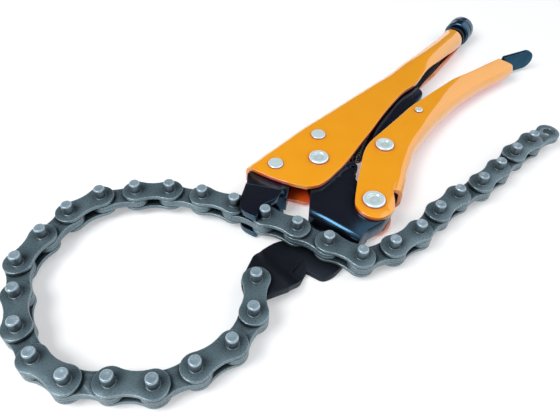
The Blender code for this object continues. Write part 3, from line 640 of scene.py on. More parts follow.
class Wire(MeshTree):
    """Gives a path of points a round wire."""

    NAME = "wire_on_path"
    INPUTS = (("Path", "Geometry"), ("Radius", "Float"), ("Sides", "Int"))

    @classmethod
    def core(cls, tree: bpy.types.NodeTree, given: bpy.types.Node) -> bpy.types.NodeSocket:
        """Sweeps a circle along the path."""
        path = tree.nodes.new("GeometryNodeMeshToCurve")
        section = tree.nodes.new("GeometryNodeCurvePrimitiveCircle")
        tube = tree.nodes.new("GeometryNodeCurveToMesh")
        tube.inputs["Fill Caps"].default_value = True
        for label, socket in (("Path", path.inputs["Mesh"]), ("Radius", section.inputs["Radius"]),
                              ("Sides", section.inputs["Resolution"])):
            tree.links.new(given.outputs[label], socket)
        tree.links.new(path.outputs["Curve"], tube.inputs["Curve"])
        tree.links.new(section.outputs["Curve"], tube.inputs["Profile Curve"])
        return tube.outputs["Mesh"]

    @classmethod
    def along(cls, name: str, points: list[Vector], radius: float, sides: int, paint: Paint) -> Solid:
        """Round wire along points.

        Args:
            name: name of the solid.
            points: the wire's centre line.
            radius: the wire's radius.
            sides: how many sides its section has.
            paint: finish of the wire.

        Returns:
            The wire.
        """
        wire = Solid(name, points, [])
        mesh = wire.object.data
        mesh.edges.add(len(points) - 1)
        for i, edge in enumerate(mesh.edges):
            edge.vertices = (i, i + 1)
        return cls.apply(wire, paint, Radius=radius, Sides=sides)


@dataclass(frozen=True)
class Layout:
    """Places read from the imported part, in the tool's frame.

    Args:
        home: the jaw pivot in the part's frame.
        pins: the chain's pins by joint number, and the last hole.
        pivots: the other pivots by joint name.
        screw_axis: unit vector of the screw.
    """

    home: Vector
    pins: tuple[Vector, ...]
    pivots: dict[str, Vector]
    screw_axis: Vector

    @classmethod
    def read(cls, frame: dict) -> "Layout":
        """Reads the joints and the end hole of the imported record."""
        joints = {joint["name"]: joint for joint in frame["joints"]}
        home = Vector(joints["jaw_hinge"]["pos_m"])
        places = {name: Vector(joint["pos_m"]) - home for name, joint in joints.items()}
        names = [f"chain_hinge_{number:02d}" for number in range(1, LINK_COUNT + 1)]
        pins = [flat(places[name]) if name in places else None for name in names]
        loop = [pin for pin in pins[:FORK_PIN + 1] if pin]
        middle = sum(loop, Vector((0, 0))) / len(loop)
        for i, pin in enumerate(pins):
            if pin is None:
                pins[i] = cls.between(pins[i - 1], pins[i + 1], middle)
        mounts = {mount["name"]: mount for mount in frame["record"]["mounts"]}
        pins.append(flat(Vector(mounts["chain_end_hole"]["pos_m"]) - home))
        axis = Vector(joints["screw_turn"]["axis"]).normalized()
        return cls(home, tuple(pins), {k: flat(v) for k, v in places.items()}, axis)

    @staticmethod
    def between(before: Vector, after: Vector, inside: Vector) -> Vector:
        """Pin one pitch from two others, on the side away from a place inside the loop."""
        middle, across = (before + after) / 2, (after - before) / 2
        rise = math.sqrt(PITCH**2 - across.length_squared)
        side = Vector((-across.y, across.x)).normalized() * rise
        return max((middle + side, middle - side), key=lambda place: (place - inside).length)

    def place(self, solid: Solid, body: str, nodes: tuple[str, ...], paint: Paint,
              angle: float = SHARP_ANGLE, stretch: tuple[str, Vector, Vector] | None = None) -> None:
        """Moves a finished solid onto the part and ties it to its body.

        Args:
            solid: the piece, in the tool's frame.
            body: the body that it rides on.
            nodes: the CAD nodes that it stands for.
            paint: its main finish; not used.
            angle: edges sharper than this stay sharp, in degrees.
            stretch: for a piece that stretches, its other body and where the stretch starts and ends; only
                whether it is given is read, and then the piece is left in place, tied to no body.
        """
        solid.move(Matrix.Translation(self.home))
        mesh = solid.object.data
        mesh.shade_smooth()
        mesh.set_sharp_from_angle(angle=math.radians(angle))
        if stretch:
            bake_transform(solid.object)
        else:
            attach(solid.object, body)
        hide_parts(*nodes)
        LOG.info("%s: %d faces on %s", solid.object.name, len(mesh.polygons), body)


@dataclass(frozen=True)
class SheetRow:
    """One cross line of a folded sheet: web, free edge, roll, half slit in degrees, swell, lean.

    The lean is the share of the depth over which the flange slopes down to the web.
    """

    web: Pair
    edge: Pair
    rolled: float = 0.0
    slit: float = 30.0
    swell: float = 0.0
    lean: float = 0.0

    def values(self) -> Vector:
        """All numbers as one vector."""
        return Vector((*self.web, *self.edge, self.rolled, self.slit, self.swell, self.lean))


@dataclass(frozen=True)
class FoldedSheet:
    """A handle folded from one sheet: a channel that may roll into a tube.

    Args:
        rows: cross lines in shares of the tool's reach.
        bend: outside radius of the folds.
        bend_steps: points in a fold.
        flange_steps: points in a flange.
        row_steps: new rows for each stretch of the table.
        crease: height of the web's edge under a sloping flange.
        bow: how far that edge stands back from the web's middle.
        bow_rate: how fast the bow comes in as the flange leans.
        tip: the most that the lower lip of a tube's slit stands in, in degrees.
        tip_share: the most that it stands in, as a share of the half slit.
        lip: the upper lip's share of the half slit.
    """

    rows: tuple[SheetRow, ...]
    bend: float = 0.0043
    bend_steps: int = 7
    flange_steps: int = 12
    row_steps: int = 5
    crease: float = 0.0034
    bow: float = 0.001
    bow_rate: float = 4.0
    tip: float = 4.0
    tip_share: float = 0.15
    lip: float = 0.78

    def half_path(self, depth: float, rolled: float, slit: float, lean: float) -> list[Pair]:
        """Middle line of the upper half of a section, from the web to the free edge."""
        half, start = HALF_WIDTH - SHEET / 2, SHEET / 2
        fold = self.bend - start
        middle = [(start, 0.0)]
        for i in range(self.bend_steps + 1):
            angle = math.pi / 2 * i / self.bend_steps
            middle.append((start + fold * (1 - math.cos(angle)), half - fold * (1 - math.sin(angle))))
        flange = depth - start - fold
        for i in range(1, self.flange_steps + 1):
            middle.append((start + fold + flange * i / self.flange_steps, half))
        lengths = [0.0]
        for a, b in zip(middle, middle[1:]):
            lengths.append(lengths[-1] + math.dist(a, b))
        tube = depth / 2
        path = []
        for (u, z), length in zip(middle, lengths):
            if lean > 0:
                z = min(z, self.crease + (half - self.crease) * (u - start) / (lean * depth))
                near = 1 - min((u - start) / fold, 1)
                u += self.bow * min(z / self.crease, 1) * min(lean * self.bow_rate, 1) * near
            angle = (math.pi - math.radians(slit)) * length / lengths[-1]
            turned = (tube - (tube - start) * math.cos(angle), (tube - start) * math.sin(angle))
            path.append((u + (turned[0] - u) * rolled, z + (turned[1] - z) * rolled))
        return path

    def section(self, values: Vector) -> list[Point]:
        """Closed section of the sheet on one cross line."""
        web, edge = share(values[0:2]), share(values[2:4])
        rolled, slit, swell, lean = min(max(values[4], 0), 1), values[5], values[6], values[7]
        depth = (edge - web).length
        along = (edge - web).normalized()
        side = Vector((-along[1], along[0]))
        tip = min(self.tip, slit * self.tip_share)
        path = [(u, -z) for u, z in self.half_path(depth, rolled, slit - tip, lean)[:0:-1]]
        path += self.half_path(depth, rolled, slit * self.lip, lean)
        outside, inside = [], []
        for i, (u, z) in enumerate(path):
            before, after = path[max(i - 1, 0)], path[min(i + 1, len(path) - 1)]
            run = math.dist(before, after)
            normal = ((before[1] - after[1]) / run, (after[0] - before[0]) / run)
            for points, sign in ((outside, 1), (inside, -1)):
                at_u = u + normal[0] * sign * SHEET / 2
                at_z = z + normal[1] * sign * SHEET / 2
                part = at_u / depth
                place = web + along * at_u + side * 4 * swell * part * (1 - part)
                points.append((place[0], place[1], at_z))
        return outside + inside[::-1]

    def build(self, name: str) -> Solid:
        """The whole sheet as a smooth solid."""
        rows = curve_through([row.values() for row in self.rows], self.row_steps)
        return Solid.loft(name, [self.section(row) for row in rows])


@dataclass(frozen=True)
class Chain:
    """Leaf chain: outer links of two plates and two pins, and inner links of middle plates.

    Args:
        end_radius: radius of a plate's round ends.
        waist: width of a plate's waist.
        plate: thickness of a plate.
        gap: room between the plates' layers.
        pin_radius: radius of a pin.
        pin_top: height of a pin's top face.
        hole_radius: radius of an open hole.
        rounding: rounding of a plate's edges.
        drill_reach: how far the drill goes from its middle, which lies half as far up.
    """

    end_radius: float = 0.00605
    waist: float = 0.0092
    plate: float = 0.0018
    gap: float = 0.0003
    pin_radius: float = 0.0025
    pin_top: float = 0.0088
    hole_radius: float = 0.0027
    rounding: float = 0.00028
    drill_reach: float = 0.002

    END_STEPS, WAIST_STEPS = 26, 8
    # Faces of a pin steeper than this are its sides, which get the painted shade.
    SIDE_SLOPE = 0.3
    # Each pair is a share of the pin's radius and a depth in from the pin's end
    PIN_FOOT = ((0.0, 0.00012), (0.8, 0.00012), (1.0, 0.0004))
    PIN_HEAD = ((1.0, 0.0006), (0.96, 0.0003), (0.82, 0.0), (0.45, 0.0), (0.3, 0.00012), (0.0, 0.00016))

    def outline(self) -> list[Vector]:
        """Figure-eight outline, from the pin at zero to the pin one pitch on."""
        half = self.waist / 2
        hollow = (PITCH**2 / 4 + half**2 - self.end_radius**2) / (2 * (self.end_radius - half))
        rise = half + hollow
        meet = math.degrees(math.atan2(rise, PITCH / 2))
        near, far = Vector((0, 0)), Vector((PITCH, 0))
        points = arc(near, self.end_radius, meet, 360 - meet, self.END_STEPS)
        points += arc(Vector((PITCH / 2, -rise)), hollow, 180 - meet, meet, self.WAIST_STEPS)[1:-1]
        points += arc(far, self.end_radius, meet - 180, 180 - meet, self.END_STEPS)
        return points + arc(Vector((PITCH / 2, rise)), hollow, -meet, meet - 180, self.WAIST_STEPS)[1:-1]

    def plates(self, name: str, low: float, step: float, holes: int) -> Solid:
        """Two plates one above the other, the lower from a height, with round holes."""
        plate = Solid.prism(name, self.outline(), low, low + self.plate)
        for i in range(holes):
            plate.drill(Vector((PITCH * (1 - i), 0)), self.hole_radius, self.drill_reach,
                        low + self.drill_reach / 2)
        plate.soften(self.rounding)
        return Stack.repeat(plate, 2, (0, 0, step), Paint.PLATE)

    def outer_link(self, name: str) -> Solid:
        """Two outer plates on two riveted pins that stand out on top."""
        top = self.plate * 2 + self.gap
        link = self.plates(name, -top, self.plate * 3 + self.gap * 2, 0)
        profile = [(self.pin_radius * part, depth - top) for part, depth in self.PIN_FOOT]
        profile += [(self.pin_radius * part, self.pin_top - depth) for part, depth in self.PIN_HEAD]
        pins = Stack.repeat(Solid.turned("pins", profile, 32), 2, (PITCH, 0, 0), Paint.PIN)
        # Painted shade: the pins' steep sides get the darker copy of the pin finish, while the tops keep the
        # lit one.
        pins.repaint(Paint.SHANK, lambda face: abs(face.normal.z) < self.SIDE_SLOPE)
        return link.take(pins)

    def inner_link(self, name: str) -> Solid:
        """Two middle plates that lie together, with an open hole at each end."""
        return self.plates(name, -self.plate, self.plate, 2)

    def build(self, layout: Layout) -> None:
        """Lays every link from its pin to the next."""
        outer, inner = self.outer_link("outer_pattern"), self.inner_link("inner_pattern")
        for i in range(LINK_COUNT):
            number = i + 1
            source = outer if number % 2 else inner
            link = Solid(f"chain_link_{number:02d}", [], [])
            link.object.data = source.object.data.copy()
            run = layout.pins[number] - layout.pins[i]
            turn = Matrix.Rotation(math.atan2(run[1], run[0]), 4, "Z")
            link.move(Matrix.Translation((*layout.pins[i], 0)) @ turn)
            layout.place(link, f"chain_{number:02d}", (f"link_{number:02d}",), Paint.PLATE)
        for pattern in (outer, inner):
            bpy.data.objects.remove(pattern.object)


FIXED_ROWS = (
    SheetRow((-0.199, -0.040), (-0.034, -0.113), swell=-0.0018),
    SheetRow((-0.190, -0.027), (-0.003, -0.105), swell=-0.0009),
    SheetRow((-0.176, -0.012), (0.020, -0.087), swell=-0.00045),
    SheetRow((-0.154, 0.015), (0.041, -0.060)),
    SheetRow((-0.117, 0.057), (0.074, -0.014)),
    SheetRow((-0.052, 0.134), (0.1146, 0.058)),
    SheetRow((0.020, 0.209), (0.158, 0.134)),
    SheetRow((0.103, 0.297), (0.2075, 0.225)),
    SheetRow((0.176, 0.373), (0.268, 0.321)),
    SheetRow((0.237, 0.436), (0.318, 0.376)),
    SheetRow((0.289, 0.504), (0.3655, 0.447), 0.3, 58.0),
    SheetRow((0.340, 0.564), (0.418, 0.511), 0.8, 45.0),
    SheetRow((0.386, 0.622), (0.461, 0.574), 1.0, 32.0),
    SheetRow((0.432, 0.680), (0.503, 0.638), 1.0, 11.0),
    SheetRow((0.459, 0.715), (0.527, 0.675), 1.0, 4.0),
    SheetRow((0.468, 0.735), (0.537, 0.699), 1.0, 4.0),
)
LOWER_ROWS = (
    SheetRow((0.223, -0.111), (0.099, -0.107)),
    SheetRow((0.237, -0.069), (0.108, -0.062)),
    SheetRow((0.249, -0.020), (0.116, -0.020)),
    SheetRow((0.263, 0.021), (0.130, 0.039)),
    SheetRow((0.279, 0.064), (0.151, 0.081), lean=0.05),
    SheetRow((0.299, 0.103), (0.187, 0.127), lean=0.09),
    SheetRow((0.333, 0.158), (0.237, 0.189), lean=0.15),
    SheetRow((0.372, 0.215), (0.288, 0.253), lean=0.25),
    SheetRow((0.409, 0.264), (0.338, 0.304), lean=0.38),
    SheetRow((0.451, 0.315), (0.394, 0.360), lean=0.6),
    SheetRow((0.501, 0.367), (0.450, 0.413), lean=0.82),
    SheetRow((0.560, 0.422), (0.518, 0.465), lean=1.1),
    SheetRow((0.622, 0.471), (0.583, 0.517), lean=1.3),
    SheetRow((0.6745, 0.516), (0.6225, 0.5465), lean=1.38),
    SheetRow((0.680, 0.5275), (0.630, 0.552), lean=1.4),
)


@dataclass(frozen=True)
class Rivet:
    """A rivet with a head on each side of a handle.

    Args:
        node: the CAD node.
        body: the body that it rides on.
        place: name of the joint that it is the pin of, or its place in shares of the reach.
        shank: radius of the shank.
        head: radius of the head.
        height: height of the head.
        dished: whether the head has a pressed hollow.
    """

    node: str
    body: str
    place: str | Pair
    shank: float
    head: float
    height: float
    dished: bool

    ROUND_STEPS = 5
    SHARP = 28.0
    # Shares of the head's radius or height, but the dish's radius is a share of the shank's
    SEAT_SHARE, FLAT_SHARE, DISH_SHARE = 0.97, 0.4, 0.98
    LAND = 0.12
    CROWN = 0.9
    DISH = ((1.06, 0.0), (0.98, 0.08), (0.9, 0.6), (0.76, 0.82), (0.5, 0.84), (0.2, 0.7), (0.0, 0.66))

    def centre(self, layout: Layout) -> Vector:
        """Place of the rivet in the plan."""
        return layout.pivots[self.place] if isinstance(self.place, str) else share(self.place)

    def bore(self, solid: Solid, layout: Layout, reach: float) -> None:
        """Drills the rivet's hole, with its play, both ways from the middle plane."""
        solid.drill(self.centre(layout), self.shank + PLAY, reach)

    def profile(self) -> list[Pair]:
        """Half profile from the middle plane up: seat, rounded rim, and a dish or a flat top."""
        seat, r, h = HALF_WIDTH + SEAT_GAP, self.head, self.height
        half = [(self.shank, seat), (r * self.SEAT_SHARE, seat), (r, seat + h * self.LAND)]
        for i in range(1, self.ROUND_STEPS + 1):
            angle = math.pi / 2 * i / self.ROUND_STEPS
            rise = self.LAND + (1 - self.LAND) * math.sin(angle)
            half.append((r - h * self.CROWN * (1 - math.cos(angle)), seat + h * rise))
        if not self.dished:
            return [*half, (r * self.FLAT_SHARE, seat + h), (0, seat + h)]
        dish = self.shank * self.DISH_SHARE
        return half + [(dish * part, seat + h - h * depth) for part, depth in self.DISH]

    def build(self, layout: Layout) -> None:
        """Turns the rivet and puts it in place."""
        half = self.profile()
        profile = [(radius, -height) for radius, height in half[::-1]] + half
        rivet = Solid.turned(f"{self.node}_zinc", profile, 56).painted(Paint.ZINC)
        rivet.move(Matrix.Translation((*self.centre(layout), 0)))
        layout.place(rivet, self.body, (self.node,), Paint.ZINC, self.SHARP)


JAW_PIVOT = Rivet("jaw_pivot_rivet", "clamp_body", "jaw_hinge", 0.003, 0.0049, 0.001, True)
JAW_FRONT = Rivet("jaw_rivet_front", "clamp_body", (-0.118, -0.031), 0.0022, 0.0037, 0.0005, False)
JAW_REAR = Rivet("jaw_rivet_rear", "clamp_body", (0.0, 0.099), 0.0022, 0.0037, 0.0005, False)
HANDLE_PIVOT = Rivet("handle_pivot_rivet", "jaw_arm", "handle_hinge", 0.0032, 0.00535, 0.001, True)
TOGGLE_PIVOT = Rivet("toggle_rivet", "lever_handle", "toggle_hinge", 0.0028, 0.0047, 0.001, True)
RELEASE_PIVOT = Rivet("release_rivet", "lever_handle", "release_hinge", 0.0015, 0.00215, 0.0006, False)


@dataclass(frozen=True)
class Handles:
    """The two folded handles.

    Args:
        edge: rounding of the sheet's cut edges.
        edge_angle: folds blunter than this aren't edges, in degrees.
        tab_root: where the spring's tab leaves the web, in shares of the reach.
        lobe: outline of the lower handle's sides round its pivot, in shares of the reach.
    """

    edge: float = 0.0005
    edge_angle: float = 50.0
    tab_root: tuple[Pair, ...] = ((0.088, 0.270), (0.117, 0.300))
    lobe: tuple[Pair, ...] = (
        (0.104, -0.076), (0.092, -0.154), (0.096, -0.179), (0.107, -0.196), (0.125, -0.208),
        (0.144, -0.212), (0.163, -0.208), (0.180, -0.196), (0.191, -0.179), (0.195, -0.154),
        (0.196, -0.108), (0.207, -0.076),
    )

    def tab(self) -> Solid:
        """Tab inside the fixed handle that holds the spring."""
        low, high = shares(self.tab_root)
        tip = share(SPRING_TAB)
        heading = heading_of(tip - (low + high) / 2)
        outline = [low, *arc(tip, HOOK_HOLE + TAB_SHEET, heading - 90, heading + 90, 12), high]
        return Solid.prism("tab", outline, -TAB_SHEET / 2, TAB_SHEET / 2)

    def build_fixed(self, layout: Layout) -> None:
        """Fixed handle: channel, rolled tube and the spring's tab."""
        handle = FoldedSheet(FIXED_ROWS).build("fixed_handle_shell").join(self.tab())
        handle.drill(share(SPRING_TAB), HOOK_HOLE, TAB_SHEET)
        for rivet in (JAW_PIVOT, JAW_FRONT, JAW_REAR):
            rivet.bore(handle, layout, HANDLE_DRILL)
        handle.soften(self.edge, self.edge_angle).painted(Paint.ORANGE)
        layout.place(handle, "clamp_body", ("fixed_handle",), Paint.ORANGE)

    def build_lower(self, layout: Layout) -> None:
        """Lower handle: channel whose sides run on round the pivot."""
        handle = FoldedSheet(LOWER_ROWS).build("lower_handle_shell")
        lobe = curve_through(shares(self.lobe), 4)
        for low, high in ((HALF_WIDTH - SHEET, HALF_WIDTH), (-HALF_WIDTH, SHEET - HALF_WIDTH)):
            handle.join(Solid.prism("lobe", lobe, low, high))
        for rivet in (HANDLE_PIVOT, TOGGLE_PIVOT, RELEASE_PIVOT):
            rivet.bore(handle, layout, HANDLE_DRILL)
        handle.soften(self.edge, self.edge_angle).painted(Paint.ORANGE)
        layout.place(handle, "lever_handle", ("lower_handle",), Paint.ORANGE)


@dataclass(frozen=True)
class Jaws:
    """The fixed jaw with its fork, and the movable jaw with its cranked arm.

    Args:
        ear_low: underside of the upper ear.
        ear_top: top of the upper ear.
        notch: radius of the hook's notch.
        plate: thickness of the movable jaw's sheet.
        slab_top: upper face of the arm.
        slab_low: lower face of the arm.
        front_round: rounding of the movable jaw's front.
        edge: rounding of all other edges.
        lug: radius of the movable jaw round its pivot.
        eye: radius of the arm's eye.
        eye_hole: radius of the hole in it.
        nose_tip: thickness of the arm's nose at its tip.
        nose_run: length of the slope down to the tip.
        matt_from: how far past its front the arm's dull finish starts.
    """

    ear_low: float = 0.0042
    ear_top: float = 0.0072
    notch: float = 0.003
    plate: float = 0.0022
    slab_top: float = -0.0042
    slab_low: float = -0.0078
    front_round: float = 0.0034
    edge: float = 0.00035
    lug: float = 0.0075
    eye: float = 0.0063
    eye_hole: float = 0.0027
    nose_tip: float = 0.0012
    nose_run: float = 0.0125
    matt_from: float = 0.0005

    # Outlines in shares of the reach; the ear's and the neck's are shares of the pitch from their pins
    BLOCK = (
        (-0.085, -0.146), (-0.080, -0.118), (-0.075, -0.073), (-0.064, -0.020),
        (-0.047, 0.030), (-0.020, 0.055), (0.025, 0.066), (0.039, 0.100), (0.017, 0.134),
        (-0.021, 0.142), (-0.039, 0.116), (-0.129, 0.007), (-0.175, -0.048),
        (-0.193, -0.059), (-0.192, -0.137),
    )
    WALL = ((-0.091, -0.145), (-0.095, -0.134), (-0.150, -0.122), (-0.193, -0.114), (-0.192, -0.137))
    EAR_EDGE = ((-0.718, 0.49), (-0.731, 0.139), (-0.624, -0.057), (-0.416, -0.202), (-0.258, -0.271),
                (-0.202, -0.227))
    EAR_RETURN = ((0.045, 0.296), (0.214, 0.391), (0.346, 0.529), (0.41, 0.655))
    FRONT = ((-0.026, -0.189), (0.098, -0.271))
    RIGHT = (
        (0.119, -0.242), (0.144, -0.224), (0.170, -0.203), (0.191, -0.165), (0.201, -0.129),
        (0.190, -0.096), (0.156, -0.082), (0.115, -0.087), (0.097, -0.050), (0.106, -0.028),
        (0.109, -0.014), (0.104, -0.001), (0.091, 0.004), (0.053, 0.003),
    )
    LEFT = (-0.021, -0.104)
    POCKET = (
        (-0.056, -0.154), (0.103, -0.257), (0.149, -0.206), (0.173, -0.165), (0.235, -0.165),
        (0.235, 0.072), (-0.089, 0.072),
    )
    SLAB_LEFT = ((-0.140, -0.283), (-0.117, -0.264), (-0.097, -0.253), (-0.072, -0.244), (-0.028, -0.192))
    SLAB_ROOT = ((-0.016, -0.171), (0.014, -0.137), (0.078, -0.174), (0.128, -0.226))
    SLAB_NOSE = ((0.097, -0.266), (0.058, -0.320), (0.037, -0.345), (0.012, -0.358),
                 (-0.008, -0.350), (-0.029, -0.338), (-0.044, -0.372))
    ROOT = ((-0.014, -0.182), (0.012, -0.146), (0.073, -0.179), (0.121, -0.227), (0.096, -0.260))
    NECK = (((-0.34, 0.21), (0.29, -0.43)), ((-0.142, 0.8), (0.84, -0.16)))
    HEEL = ((-0.140, -0.283), (-0.044, -0.372))
    NOSE = ((-0.034, -0.300), (0.062, -0.362))
    # Angles of two arcs in degrees, and lengths of what cuts the nose and sinks the neck's end
    NOTCH_SWEEP, LUG_SWEEP = (205, 122), (25, 185)
    EYE_OVERRUN = 1.3
    WEDGE_REACH, WEDGE_BACK, WEDGE_HIGH = 0.0161, 0.001, 0.0046
    NECK_SINK, NECK_STEPS = 0.001, 10

    @property
    def arm_middle(self) -> float:
        """Height of the arm's middle plane."""
        return (self.slab_low + self.slab_top) / 2

    @property
    def arm_half(self) -> float:
        """Half of the arm's thickness."""
        return (self.slab_top - self.slab_low) / 2

    def ear(self, hook: Vector) -> list[Vector]:
        """Outline of one hooked ear round the chain's pin."""
        edge = curve_through(pitches(hook, self.EAR_EDGE), 4)
        notch = arc(hook, self.notch, *self.NOTCH_SWEEP, 10)
        crook = curve_through([notch[-1], *pitches(hook, self.EAR_RETURN)], 4)[1:]
        return shares(self.WALL[1:4]) + edge + notch + crook

    def build_fixed(self, layout: Layout) -> None:
        """Fixed jaw: a block between the handle's sides and two hooked ears."""
        jaw = Solid.prism("fixed_jaw_block", shares(self.BLOCK), -CORE_HALF, CORE_HALF)
        jaw.join(Solid.prism("wall", shares(self.WALL), HAIR - self.ear_top, self.ear_top - HAIR))
        ear = self.ear(layout.pins[FORK_PIN])
        for low, high in ((self.ear_low, self.ear_top), (-self.ear_top, -self.ear_low)):
            jaw.join(Solid.prism("ear", ear, low, high))
        for rivet in (JAW_FRONT, JAW_REAR):
            rivet.bore(jaw, layout, CORE_DRILL)
        jaw.soften(self.edge).painted(Paint.BLACK)
        layout.place(jaw, "clamp_body", ("fixed_jaw",), Paint.BLACK)

    def round_front(self, jaw: Solid) -> None:
        """Rounds the top edge of the movable jaw's front."""
        first, last = shares(self.FRONT)
        work = bmesh.new()
        work.from_mesh(jaw.object.data)
        chosen = []
        for edge in work.edges:
            ends = [v.co for v in edge.verts]
            near = all(min((e.xy - first).length, (e.xy - last).length) < SEAT_GAP for e in ends)
            if near and min(e.z for e in ends) > 0 and edge.calc_length() > self.plate:
                chosen.append(edge)
        bmesh.ops.bevel(work, geom=chosen, offset=self.front_round, segments=10, profile=0.5, affect="EDGES")
        work.to_mesh(jaw.object.data)
        work.free()

    def nose_wedge(self) -> Solid:
        """Wedge over the arm's nose that slopes it down to its tip."""
        left, right = shares(self.NOSE)
        across = (right - left).normalized()
        out = Vector((across[1], -across[0]))
        fall = (self.slab_top - self.slab_low - self.nose_tip) / self.nose_run
        sections = []
        for corner in (left, right):
            far, back = corner + out * self.WEDGE_REACH, corner - out * self.WEDGE_BACK
            high = self.slab_top + self.WEDGE_HIGH
            sections.append([
                (*back, self.slab_top + fall * self.WEDGE_BACK),
                (*far, self.slab_top - fall * self.WEDGE_REACH), (*far, high), (*back, high)])
        return Solid.loft("nose", sections)

    def neck(self, eye: Vector) -> Solid:
        """Cranked neck from the eye down to the slab, on a smooth S."""
        half = self.arm_half
        first, second = (pitches(eye, pair) for pair in self.NECK)
        heel = shares(self.HEEL)
        across = (heel[1] - heel[0]).normalized()
        deep = [corner + Vector((-across.y, across.x)) * self.NECK_SINK for corner in heel]
        lines = [(*first, 0.0, half)]
        for i in range(self.NECK_STEPS + 1):
            t = i / self.NECK_STEPS
            height = self.arm_middle * (eased(t) + t) / 2
            lines.append((second[0].lerp(heel[0], t), second[1].lerp(heel[1], t), height, half))
        inset = across * SEAT_GAP
        lines.append((deep[0] + inset, deep[1] - inset, self.arm_middle, half - HAIR))
        return Solid.loft("neck", [[(*left, z - h), (*right, z - h), (*right, z + h), (*left, z + h)]
                                   for left, right, z, h in lines])

    def arm(self, inside: float) -> Solid:
        """Flat part of the arm: slab with a sloping nose, and its root in the body."""
        slab = curve_through(shares(self.SLAB_LEFT), 3) + shares(self.SLAB_ROOT)
        slab += curve_through(shares(self.SLAB_NOSE[:5]), 3) + shares(self.SLAB_NOSE[5:])
        arm = Solid.prism("slab", slab, self.slab_low, self.slab_top).cut(self.nose_wedge())
        root = Solid.prism("root", shares(self.ROOT), self.slab_low + SEAT_GAP, -inside - self.plate / 2)
        return arm.join(root)

    def build_movable(self, layout: Layout) -> None:
        """Movable jaw: a pressed body and a cranked arm to the chain's first pin."""
        eye = layout.pins[0]
        right = curve_through(shares(self.RIGHT), 3)
        lug = arc(Vector((0, 0)), self.lug, *self.LUG_SWEEP, 24)
        outline = shares(self.FRONT) + right + lug + [share(self.LEFT)]
        jaw = Solid.prism("movable_jaw_body", outline, -CORE_HALF, CORE_HALF)
        self.round_front(jaw)
        inside = CORE_HALF - self.plate
        jaw.cut(Solid.prism("pocket", shares(self.POCKET), -inside, inside))
        jaw.join(self.arm(inside)).join(self.neck(eye))
        jaw.join(Solid.prism("eye", circle(eye, self.eye), -self.arm_half, self.arm_half))
        jaw.drill(eye, self.eye_hole, self.arm_half * self.EYE_OVERRUN)
        for rivet in (JAW_PIVOT, HANDLE_PIVOT):
            rivet.bore(jaw, layout, CORE_DRILL)
        jaw.drill(share(SPRING_HOOK), HOOK_HOLE, CORE_DRILL)
        jaw.soften(self.edge).painted(Paint.BLACK)
        first, last = shares(self.FRONT)
        out = Vector((last.y - first.y, first.x - last.x)).normalized()
        jaw.repaint(Paint.ARM, lambda face: (face.center.xy - first).dot(out) > self.matt_from)
        layout.place(jaw, "jaw_arm", ("movable_jaw",), Paint.BLACK)


